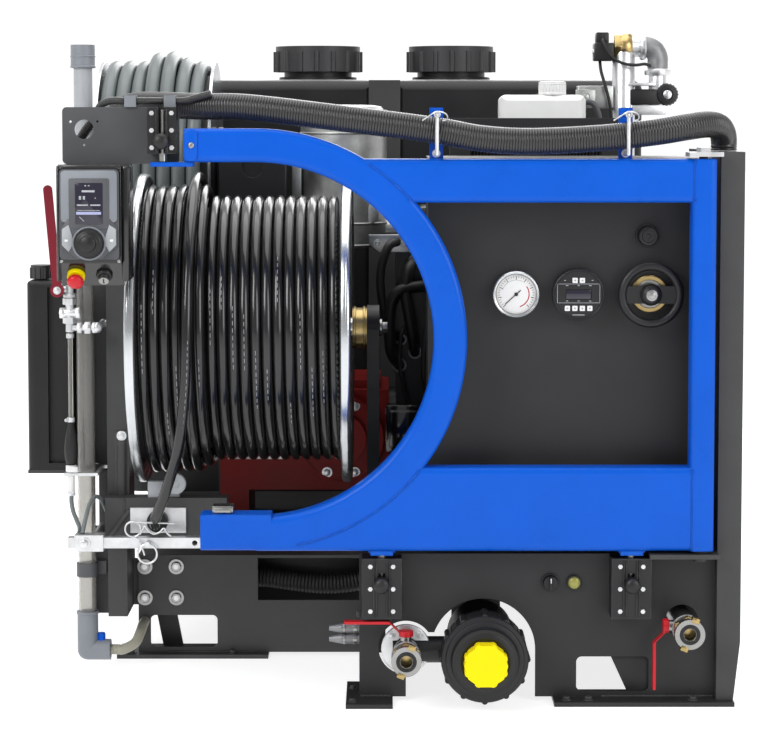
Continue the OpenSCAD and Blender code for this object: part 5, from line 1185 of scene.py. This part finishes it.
@dataclass
class LeftSide:
    """Post bracket, priming bulb, pipe fittings, guide arm's pin and level pipe."""

    line_x: float = -596.0
    line_y: float = 205.0
    pipe_x: float = -574.0
    pipe_y: float = 258.0

    def post(self) -> None:
        """Make the post's pressed bracket and strap, the tank's tie plate and the hose roller."""
        bracket = Shape().prism(rounded((-519, -490), (308, 463), 5), (245.5, 250), 1.0)
        bracket.box((-513, -496), (238, 247), (331, 445), 4.5)
        bracket.box((-510, -499), (236.6, 240), (338, 438), 1.4)
        for z in (454.0, 321.0):
            bracket.bolt((-504.5, 245.5, z), Axis.FRONT, 6.5, 7, 1)
        bracket.piece("post_bracket", "machine", Finishes.DARK, Finishes.ZINC)
        strap = Shape().prism([(-489, 318), (-481, 318), (-523, 263), (-532, 263)], (201.5, 206), 0.8)
        strap.piece("post_strap", "machine", Finishes.DARK)
        outline = [(-599.5, 762), (-534, 762), (-534, 112), (-566, 112), (-566, 380), (-599.5, 380)]
        tie = Shape().prism(outline, (384, 389))
        tie.piece("tank_tie_plate", "machine", Finishes.DARK)
        block = Shape().box((-452, -421), (212, 236), (339, 371), 2.0)
        block.box((-421, -392), (222, 230), (339, 378), 1.0)
        block.rod((-397, 240, 369), Axis.FRONT, 40, 5)
        roller = [(0, 0), (19, 0), (20, 2), (20, 10), (18, 12), (8, 12), (6, 14), (0, 14)]
        block.lathe((-397, 202, 369), Axis.FRONT, roller, 40)
        block.piece("hose_roller", "machine", Finishes.PALE)
        bead("post_weld", [(-496, 206.5, 262 + 78 * i / 7) for i in range(8)], 2.4, "machine", Finishes.DARK)

    def priming(self) -> None:
        """Make the squeeze bulb, its clear line, clamps and thin hoses."""
        x, y = self.line_x, self.line_y
        bulb = Shape().lathe((x, y, 389), Axis.Z, [
            (0, 0), (5.2, 0), (5.2, 11), (6, 13), (9.4, 18), (12, 27), (13, 39), (12.7, 51), (11.2, 65), (8.8, 77),
            (6.6, 86), (5.6, 91), (6.2, 93), (6.2, 97), (5.2, 98), (0, 98)], 48)
        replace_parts(bulb.piece("squeeze_bulb", "machine", Finishes.RUBBER), "primer_bulb")
        line("clear_line", [(x, y, 486), (x, y, 540), (x, y, 600), (x, y, 658)], 4.6, "machine", Finishes.CLEAR)
        clamps = Shape().tube((x, y, 390.5), Axis.Z, 13, 10.5, 5.0)
        clamps.box((x - 3, x + 14), (y - 14, y - 8), (391, 402), 1.2)
        clamps.rod((x, y, 350), Axis.Z, 33, 6.4, sides=32, edge=0.8)
        clamps.rod((x, y, 345), Axis.Z, 8, 8.0, sides=6, edge=0.8, material=1)
        clamps.tube((x, y, 646), Axis.Z, 9, 7.6, 4.8, material=1)
        clamps.tube((x, y, 486), Axis.Z, 9, 7.6, 4.8, material=1)
        clamps.screw((x - 8, y - 7, 490), Axis.FRONT, 3.4, 3, 1)
        clamps.piece("priming_clamps", "machine", Finishes.WHITE, Finishes.ZINC)
        low = [(x, y, 347), (x, 203, 333), (-592, 196, 316), (-584, 182, 302), (-577, 165, 293), (-574, 150, 289),
               (-573, 138, 285.6)]
        line("priming_hose", smooth(low, 50), 4.2, "machine", Finishes.FILL_HOSE)
        arch = [(-566, 130, 285.6), (-563, 138, 305), (-557, 158, 334), (-549, 182, 346), (-542, 204, 340),
                (-537, 226, 324), (-534.5, 244, 310), (-533.5, 256, 302)]
        line("vent_line", smooth(arch, 60), 4.0, "machine", Finishes.FILL_HOSE)

    def fittings(self) -> None:
        """Make the nuts, tee and collars of the steel pipe."""
        y = self.line_y
        nuts = Shape()
        for x, h, r in ((-582, 9, 11.5), (-568, 12, 13.0), (-553.5, 7, 11.5)):
            nuts.rod((x, y, 666), Axis.X, h, r, sides=6, edge=1.0)
        nuts.rod((-613, y, 694), Axis.X, 36, 9.6, sides=32, edge=1.0)
        nuts.rod((-615, y, 694), Axis.X, 9, 11.6, sides=6, edge=1.0)
        nuts.rod((-584, y, 694), Axis.X, 8, 11.6, sides=6, edge=1.0)
        nuts.tube((-596, y, 723), Axis.Z, 7, 12.4, 7.6)
        nuts.bolt((-617, y - 21.5, 738), Axis.FRONT, 5.0, 5)
        nuts.piece("pipe_nuts", "machine", Finishes.ZINC)
        pipe = Shape().tube((self.pipe_x, self.pipe_y, 985), Axis.Z, 172, 17.7, 17.05)
        pipe.ring((self.pipe_x, self.pipe_y, 1179), Axis.Z, 22.6, 1.6, material=1)
        pipe.tube((self.pipe_x, self.pipe_y, 1157), Axis.Z, 5, 24.0, 18.0, material=1)
        pipe.tube((self.pipe_x, self.pipe_y, 106), Axis.Z, 6, 21.6, 17.2, material=1)
        pipe.piece("level_pipe", "machine", Finishes.PALE, Finishes.GREY)
        cap = Shape().lathe((-548, self.pipe_y, 54), Axis.Z, [(8, 0), (8, 12), (6.6, 15), (0, 16)], 32)
        cap.piece("elbow_cap", "machine", Finishes.BLUE)

    def arm(self) -> None:
        """Make the guide arm's spring pin and the sleeve's bolt."""
        pin = [(-447, 103, 249), (-450, 103, 258), (-456, 103.5, 272), (-461, 104, 280), (-469, 105, 283.5)]
        line("arm_pin_tail", smooth(pin, 30), 1.7, "arm", Finishes.ZINC, 3)
        Shape().ring((-469, 106, 298), Axis.Y, 14.5, 1.7).piece("arm_pin_loop", "arm", Finishes.ZINC)
        bar = [(-478, 104, 309), (-470, 103.5, 312), (-450, 103, 311), (-420, 103, 310), (-390, 103, 309)]
        line("arm_pin_bar", smooth(bar, 30), 1.7, "arm", Finishes.ZINC, 3)
        hook = [(-456, 104, 288), (-450, 103, 299), (-446, 102, 304), (-440, 101, 296), (-430, 100.5, 290),
                (-419, 101, 293), (-411, 102, 300), (-404, 103, 290), (-398, 104, 285)]
        line("arm_pin_hook", smooth(hook, 60), 1.7, "arm", Finishes.ZINC, 3)
        Shape().bolt((-560, 109.6, 270), Axis.FRONT, 8.0, 8).piece("sleeve_bolt", "machine", Finishes.ZINC)

    def build(self) -> None:
        """Make all of the left side's pieces."""
        self.post()
        self.priming()
        self.fittings()
        self.arm()


@dataclass
class Base:
    """Washers, gussets, welds and bolts of the base, the hose in its notch, and a dark plate behind the hose that
    stands for the shade there.
    """

    plate_y: float = 355.0
    bolts: tuple[float, float, float] = (-442.0, 148.0, 62.0)
    welds: tuple[tuple[str, float, float, float], ...] = (
        ("left", -430.0, -240.0, 354.4), ("right", 395.0, 600.0, -0.6), ("centre", -44.0, 12.0, -0.6))
    hose: list[Point] = field(default_factory=lambda: [
        (-330, 440, 196), (-328, 436, 182), (-312, 424, 162), (-276, 410, 150), (-230, 404, 148), (-180, 402, 141),
        (-130, 401, 136), (-80, 402, 137), (-30, 408, 146), (8, 422, 164), (22, 438, 184), (24, 444, 196)])

    def build(self) -> None:
        """Make the base's pieces."""
        x, z, step = self.bolts
        washers = Shape()
        for i in (-0.5, 0.5):
            for k in (-0.5, 0.5):
                place = (x + i * step, self.plate_y, z + k * step)
                washers.tube(place, Axis.FRONT, 2.4, 15.5, 9.0)
                front = (place[0], self.plate_y - 7.0, place[2])
                washers.lathe(front, Axis.FRONT, [(10, -3), (10, -0.8), (8.6, 0.6), (5.2, 0.6), (4.8, -2), (0, -2)], 32)
        washers.piece("splice_washers", "machine", Finishes.STEEL)
        ribbed("base_hose", smooth(self.hose, 90), 20.0, 2.2, 7.0, "machine", Finishes.RUBBER, 24)
        gusset_and_shade_plate = Shape().prism([(412, 84), (492, 84), (492, 8), (447, 8)], (6, 12))
        # A dark plate behind the hose notch, standing in for the shade under the deck
        gusset_and_shade_plate.box((-262, -32), (444, 450), (40, 198), 1.0)
        gusset_and_shade_plate.piece("base_gusset_and_shade_plate", "machine", Finishes.PANEL)
        for name, start, end, y in self.welds:
            run = [(start + (end - start) * i / 11, y, 9.0) for i in range(12)]
            bead(f"foot_weld_{name}", run, 2.8, "machine", Finishes.DARK)
        bolts = Shape()
        for bx in (-500.0, -300.0):
            bolts.bolt((bx, 345, 8), Axis.Z, 7, 7)
        for bx in (330.0, 370.0, 560.0):
            bolts.bolt((bx, -26, 8), Axis.Z, 7, 7)
        for by in (-40.0, 60.0):
            bolts.bolt((-58, by, 8), Axis.Z, 6, 6)
        bolts.screw((-46, 40, 153), Axis.LEFT, 6, 6)
        bolts.piece("foot_bolts", "machine", Finishes.DARK)
        nozzle = Shape()
        for nz in (106.0, 125.8):
            nozzle.tube((-50, 40, nz), Axis.LEFT, 8, 10.0, 8.6)
            nozzle.tube((-72, 40, nz), Axis.LEFT, 4, 9.8, 8.6)
        nozzle.piece("nozzle_rings", "machine", Finishes.STEEL)


@dataclass
class EngineBay:
    """Hoses, covers and bolts of the engine, the pump, the silencer and the radiator."""

    loom: list[tuple[str, float, list[Point]]] = field(default_factory=lambda: [
        ("coolant_hose_upper", 12.0, [(92, 540, 722), (72, 506, 722), (34, 494, 716), (14, 494, 690), (10, 496, 640),
                                      (14, 504, 590), (30, 540, 560)]),
        ("coolant_hose_lower", 11.0, [(62, 540, 772), (50, 506, 758), (42, 496, 712), (50, 494, 660), (58, 506, 612),
                                      (62, 540, 586)]),
        ("breather_hose", 9.0, [(32, 540, 812), (8, 512, 802), (-8, 504, 750), (-4, 502, 690), (10, 510, 636),
                                (34, 540, 612)]),
        ("fuel_hose", 7.0, [(104, 540, 650), (88, 504, 646), (80, 494, 586), (82, 498, 526), (92, 540, 498)]),
        ("harness_a", 5.0, [(26, 540, 690), (6, 520, 676), (-14, 516, 640), (-20, 560, 600), (-24, 640, 540),
                            (-30, 668, 470)]),
        ("harness_b", 4.0, [(44, 540, 640), (34, 512, 620), (30, 506, 570), (38, 508, 520), (46, 516, 486),
                            (50, 520, 480)]),
    ])

    def engine(self) -> None:
        """Make the engine's hoses, box, bracket, covers and pulleys."""
        for name, r, route in self.loom:
            line(name, smooth(route, 70), r, "machine", Finishes.RUBBER)
        parts = Shape().box((2, 76), (500, 541), (384, 482), 6.0)
        parts.box((10, 68), (494, 502), (396, 470), 3.0)
        parts.piece("starter_box", "machine", Finishes.GLOSS)
        plate = Shape().prism([(-32, 826), (62, 826), (62, 800), (44, 790), (-12, 790), (-32, 806)], (529, 541), 1.6)
        plate.bolt((-14, 529, 808), Axis.FRONT, 6, 6)
        plate.bolt((40, 529, 808), Axis.FRONT, 6, 6)
        plate.piece("lifting_bracket", "machine", Finishes.ALUMINISED)
        ends = Shape()
        for _, r, route in self.loom[:4]:
            for x, y, z in (route[0], route[-1]):
                ends.tube((x, y, z), Axis.FRONT, 10, r + 3.0, r - 1.0, 32)
        ends.piece("hose_clamps", "machine", Finishes.CAST)
        cover = Shape().box((70, 404), (600, 752), (848, 880), 9.0)
        for x in (96.0, 237.0, 378.0):
            for y in (618.0, 734.0):
                cover.bolt((x, y, 879), Axis.Z, 6, 6, 1)
        cover.lathe((330, 676, 879), Axis.Z, [(26, 0), (26, 10), (22, 16), (8, 17), (6, 22), (0, 22)], 40, 2)
        cover.piece("rocker_cover", "machine", Finishes.ENGINE, Finishes.ZINC, Finishes.BLACK)
        pulley = Shape()
        for y, z, r in ((760.0, 420.0, 84.0), (640.0, 560.0, 46.0), (880.0, 590.0, 58.0)):
            pulley.lathe((449, y, z), Axis.X, [(0, 0), (16, 0), (16, 12), (r - 16, 12), (r, 8), (r - 8, 17), (r, 26),
                                               (r - 18, 28), (r * 0.4, 22), (14, 30), (0, 30)], 64)
        pulley.piece("drive_pulleys", "machine", Finishes.STEEL)
        sump = Shape().box((60, 414), (560, 980), (268, 284), 5.0)
        sump.piece("engine_sump_rail", "machine", Finishes.ENGINE)

    def pump(self) -> None:
        """Make the pump's bolts, its brass plugs and its cover's rim."""
        bolts = Shape()
        for place in spread((-91, 647, 392), 76, 8, 0.5):
            bolts.bolt(place, Axis.FRONT, 7.5, 8)
        for x in (-303.0, -267.0, -231.0):
            for z in (378.0, 440.0):
                bolts.rod((x, 638, z), Axis.FRONT, 10, 14, sides=6, edge=1.0)
        bolts.piece("pump_bolts", "machine", Finishes.ZINC)
        plugs = Shape()
        for x in (-303.0, -267.0, -231.0):
            plugs.lathe((x, 720, 511), Axis.Z, [(0, 0), (16, 0), (16, 8), (12, 11), (12, 16), (0, 17)], 32)
        plugs.lathe((-91, 636, 392), Axis.FRONT, [(26, 0), (26, 3), (20, 4), (18, 2), (0, 2)], 40)
        plugs.piece("pump_plugs", "machine", Finishes.BRASS)
        rim = Shape().tube((-91, 648, 392), Axis.FRONT, 3, 90, 84, 64)
        rim.piece("pump_cover_rim", "machine", Finishes.RED)

    def silencer(self) -> None:
        """Make the silencer's seams, clamp and end cap, and the reel's swivel rings."""
        seams = Shape()
        for z in (794.0, 840.0, 1030.0, 1074.0):
            seams.ring((-87, 785, z), Axis.Z, 92.2, 2.6, 64)
        seams.lathe((-87, 785, 1079.5), Axis.Z, [(86, 0), (80, 7), (60, 10), (0, 11)], 64)
        seams.box((-196, -176), (742, 760), (880, 960), 1.0)
        seams.lathe((-34, 720, 860), Axis.FRONT, [(22, 0), (22, 8), (16, 10), (0, 10)], 32)
        seams.piece("silencer_seams", "machine", Finishes.ALUMINISED)
        swivel = Shape().tube((-10, 330, 655), Axis.X, 6, 17, 12)
        swivel.rod((-10, 330, 655), Axis.X, 16, 12, sides=6, edge=1.0)
        swivel.tube((-60, 330, 655), Axis.X, 5, 42, 24, material=1)
        swivel.tube((-42, 330, 655), Axis.X, 5, 42, 24, material=1)
        swivel.piece("swivel_rings", "machine", Finishes.STEEL, Finishes.BRASS)

    def radiator(self) -> None:
        """Make the radiator's fins, tubes and hose."""
        core = Shape()
        for y0, y1 in ((434.0, 448.5), (481.5, 496.0)):
            for i in range(40):
                x = 172.0 + 256.0 * i / 39
                core.box((x - 0.7, x + 0.7), (y0, y1), (323, 1021), 0.0)
            for i in range(13):
                z = 340.0 + 664.0 * i / 12
                core.box((171, 429), (y0 + 3, y1 - 2), (z - 3, z + 3), 0.8)
        core.piece("radiator_core", "machine", Finishes.PANEL)
        stub = [(440, 500, 990), (440, 520, 986), (436, 536, 960), (430, 541, 900), (420, 545, 840)]
        line("radiator_hose", smooth(stub, 40), 18.0, "machine", Finishes.RUBBER)

    def build(self) -> None:
        """Make all of the bay's pieces."""
        self.engine()
        self.pump()
        self.silencer()
        self.radiator()


@dataclass
class Solenoids:
    """Water valves with coils on their galvanised post."""

    x: float = 492.0
    y: float = 620.0
    low: float = 1068.0
    top: float = 1208.0

    def build(self) -> None:
        """Make the post, the two valves, their coils, elbow and wires."""
        x, y, top = self.x, self.y, self.top
        post = Shape().rod((x, y, 202), Axis.Z, top - 210, 23.4, sides=48, edge=1.0)
        post.tube((x, y, 202), Axis.Z, 10, 44, 23)
        post.box((x - 2, x + 86), (y - 18, y + 18), (self.low, self.low + 20.5), 1.6)
        post.box((x + 8, x + 64), (y - 26, y + 26), (self.low + 60, self.low + 66), 1.0)
        for z in (260.0, 1040.0):
            post.tube((x, y, z), Axis.Z, 16, 27.5, 23)
        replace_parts(post.piece("valve_post", "machine", Finishes.ZINC), "solenoid_valves")
        arm = Shape().box((x - 96, x - 22), (y - 18, y + 14), (1082, 1128), 2.0)
        arm.box((x - 100, x - 60), (y - 24, y - 16), (1090, 1120), 1.2)
        arm.bolt((x - 80, y - 24, 1105), Axis.FRONT, 7, 6)
        arm.piece("valve_bracket", "machine", Finishes.ALUMINISED)
        body = Shape().rod((x - 21, y, top), Axis.X, 15, 27.5, sides=6, edge=1.6)
        body.lathe((x - 8, y, top), Axis.X, [(0, 0), (24, 0), (25.5, 4), (25.5, 16), (22, 22), (19, 26), (0, 26)], 48)
        body.lathe((x + 6, y, top + 12), Axis.Z, [(0, 0), (12, 0), (12, 10), (9, 14), (0, 15)], 32)
        body.piece("valve_body", "machine", Finishes.BRASS)
        nipple = Shape()
        for i in range(7):
            nipple.ring((x + 17 + 2.6 * i, y, top), Axis.X, 18.6, 1.9, 40, 8)
        nipple.lathe((x + 33, y, top), Axis.X, [(0, 0), (25, 0), (27, 3), (27, 9), (24, 12), (0, 12)], 40)
        nipple.lathe((x + 70, y, top - 58), Axis.Z, [(0, 0), (25, 0), (27, 3), (27, 10), (24, 13), (0, 13)], 40)
        nipple.rod((x + 70, y, self.low + 20), Axis.Z, 72, 18, sides=40, edge=0.6)
        nipple.piece("valve_nipple", "machine", Finishes.ZINC)
        bend = [(x + 42, y, top), (x + 47, y, top), (x + 54, y, top - 2), (x + 62, y, top - 7), (x + 67, y, top - 14),
                (x + 70, y, top - 23), (x + 70, y, top - 32), (x + 70, y, top - 47)]
        line("valve_elbow", smooth(bend, 40), 21.0, "machine", Finishes.CAST, 8)
        coil = Shape().box((x - 62, x - 22), (y - 25, y + 25), (top - 29, top + 8), 3.0)
        coil.box((x - 58, x - 32), (y - 18, y + 18), (top + 6, top + 29.5), 3.0)
        coil.box((x - 46, x - 38), (y - 20, y - 14), (top + 12, top + 24), 1.0)
        coil.screw((x - 61.5, y, top - 10), Axis.LEFT, 6.0, 3.0, 1)
        coil.box((x + 2, x + 76), (y - 20, y + 20), (self.low + 21, self.low + 53), 3.0)
        coil.box((x - 12, x + 8), (y - 16, y + 16), (self.low + 24, self.low + 44), 2.4)
        coil.piece("valve_coils", "machine", Finishes.BLACK, Finishes.ZINC)
        nut_x, nut_z = x + 88, self.low + 42
        turned = [(0, 0), (20, 0), (22, 2), (22, 16), (19.6, 19), (12, 20), (11, 17), (0, 17)]
        nut = Shape().lathe((nut_x, y - 4, nut_z), Axis.FRONT, turned, 48)
        for place in spread((nut_x, y - 6, nut_z), 21.6, 20):
            nut.rod(place, Axis.FRONT, 13, 1.8, sides=8, edge=0.4)
        nut.lathe((nut_x, y - 20, nut_z), Axis.FRONT, [(9, 0), (9, 5), (7, 6.6), (0, 7)], 32, 1)
        nut.rod((x + 66, y - 4, nut_z), Axis.X, 22, 14, sides=32, edge=1.0)
        nut.piece("valve_nut", "machine", Finishes.LATCH, Finishes.ZINC)
        wires = (("a", [(x - 45, y - 20, top + 16), (x - 45, y - 34, top + 8), (x - 30, y - 40, top - 20),
                        (x - 6, y - 36, top - 34), (x + 20, y - 34, top - 38), (x + 40, y - 32, top - 36),
                        (x + 52, y - 26, top - 40)]),
                 ("b", [(x - 50, y - 10, top - 28), (x - 48, y - 18, top - 50), (x - 40, y - 26, top - 80),
                        (x - 30, y - 28, top - 120), (x - 25, y - 24, top - 170), (x - 23.5, y - 8, top - 210),
                        (x - 23.5, y, top - 240)]))
        for name, route in wires:
            line(f"valve_wire_{name}", smooth(route, 40), 3.2, "machine", Finishes.RUBBER, 4)


@dataclass
class Tanks:
    """Straps, neck collars and outlets of the water tanks, and the bottle's cap and hose."""

    half_gap: float = 18.0
    width: float = 572.0
    front_y: float = 1140.0
    back_y: float = 1596.0
    deck_z: float = 202.0
    top_z: float = 1148.0
    strap_half: float = 16.0
    strap_inset: float = 110.0

    def straps(self, side: int) -> None:
        """Make two steel straps over one tank.

        Args:
            side: -1 for the left tank, 1 for the right.
        """
        xs = sorted((side * self.half_gap, side * (self.half_gap + self.width)))
        top = self.top_z
        shape = Shape()
        for y in (self.front_y + self.strap_inset, self.back_y - self.strap_inset):
            wide = (y - self.strap_half, y + self.strap_half)
            shape.box((xs[0] + 26, xs[1] - 26), wide, (top - 0.4, top + 2), 0.6)
            for x in xs:
                out = 1 if x == xs[1] else -1
                shape.box((min(x, x + out * 2), max(x, x + out * 2)), wide, (self.deck_z, top - 26), 0.6)
                bend = [(x - out * 27, y, top + 0.6), (x - out * 14, y, top - 3), (x - out * 3.4, y, top - 14),
                        (x + out * 0.6, y, top - 27)]
                for a, b in zip(bend, bend[1:]):
                    mid = (Vector(a) + Vector(b)) / 2
                    run = Vector(b) - Vector(a)
                    turn = Matrix.Rotation(math.atan2(-run.z, run.x), 4, "Y")
                    half = run.length / 2 + 1.0
                    shape.box((mid.x - half, mid.x + half), wide, (mid.z - 1.2, mid.z + 1.2), 0.4, spin=turn)
            shape.bolt((side * (self.half_gap + self.width + 2), y, 300), Axis.X if side > 0 else Axis.LEFT, 6, 6)
        shape.piece(f"tank_straps_{'left' if side < 0 else 'right'}", "machine", Finishes.ZINC)

    def build(self) -> None:
        """Make the tanks' straps, neck collars and outlets, and the bottle's cap and hose."""
        for side in (-1, 1):
            self.straps(side)
        mid_y = (self.front_y + self.back_y) / 2
        necks = Shape()
        for side in (-1, 1):
            necks.tube((side * 158.0, mid_y, self.top_z), Axis.Z, 10, 92, 80.4, 64)
        necks.piece("neck_collars", "machine", Finishes.TANK)
        outlets = Shape()
        for side in (-1, 1):
            outlets.lathe((side * 304.0, self.back_y - 2, 262), Axis.Y, [(0, 0), (40, 0), (40, 2), (0, 2)], 40)
        outlets.piece("tank_outlets", "machine", Finishes.BLACK)
        turned = [(0, 0), (25, 0), (27.6, 2), (27.6, 6), (26, 8), (26, 20), (27.6, 22), (26, 27), (22, 28), (0, 28)]
        cap = Shape().lathe((334.3, 465, 1107), Axis.Z, turned, 48)
        for i in range(24):
            a = math.tau * i / 24
            cap.rod((334.3 + 26 * math.cos(a), 465 + 26 * math.sin(a), 1114), Axis.Z, 14, 1.6, sides=8, edge=0.3)
        cap.piece("bottle_cap", "machine", Finishes.WHITE)
        neck = [(398, 465, 1092), (408, 465, 1094), (420, 466, 1086), (428, 470, 1064), (430, 474, 1040),
                (430, 476, 1012)]
        line("bottle_hose", smooth(neck, 40), 6.0, "machine", Finishes.SLATE)


def paint(node: str, finish: Finish, test: Callable[[Vector], bool]) -> None:
    """Give some of a solid's faces another finish.

    Args:
        node: The solid's name.
        finish: The finish.
        test: Says whether a face with this middle, in millimetres from the front panel, wears it.
    """
    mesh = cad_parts[node].data
    mesh.materials.append(finish.material())
    number = len(mesh.materials) - 1
    for face in mesh.polygons:
        if test(face.center * PER_METRE + Vector((0, FRONT_Y, 0))):
            face.material_index = number


def finish_nodes() -> None:
    """Give each solid of the frame its finish, and some of its faces another."""
    for finish, names in NODE_FINISHES.items():
        for name in names.split():
            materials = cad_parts[name].data.materials
            materials.clear()
            materials.append(finish.material())
            LOG.info("%s in %s", name, finish.name)
    for name in ("mid", "right", "top"):
        paint(f"slide_bolt_{name}", Finishes.BLACK, lambda c: c.y < -51.2)
    paint("stop_collar", Finishes.BLACK, lambda c: c.x > -530)
    paint("jet_reel", Finishes.DARK, lambda c: -469 < c.x < -69 and math.hypot(c.y - 330, c.z - 655) < 268)
    paint("fill_reel", Finishes.DARK, lambda c: -600 < c.x < -368 and math.hypot(c.y - 860, c.z - 982) < 180)
    paint("reel_pedestal", Finishes.BRASS, lambda c: c.x < -34.2)
    paint("filter_ring", Finishes.YELLOW, lambda c: c.y < -100.5 and math.hypot(c.x - 180, c.z - 94) < 41)
    paint("gate_pivots", Finishes.ZINC, lambda c: c.z > 994)
    paint("hose_holder", Finishes.SLATE, lambda c: c.z < 215)
    paint("steel_fittings", Finishes.CAST, lambda c: c.z < 140)
    paint("jet_pump", Finishes.STEEL, lambda c: c.x < -200 and c.y < 664 and 340 < c.z < 480)


def write_size() -> None:
    """Update the view layer."""
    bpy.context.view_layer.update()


def main() -> None:
    """Build the studio and the machine's pieces in order."""
    logging.basicConfig(level=logging.INFO, format="%(name)s: %(message)s")
    Studio().build()
    for part in (PressureReel(), Pipework(), FillReel(), ControlHead(), Gate(), Latches(), Instruments(),
                 WaterFittings(), LeftSide(), Base(), EngineBay(), Solenoids(), Tanks()):
        part.build()
    finish_nodes()
    write_size()


if __name__ == "__main__":
    main()
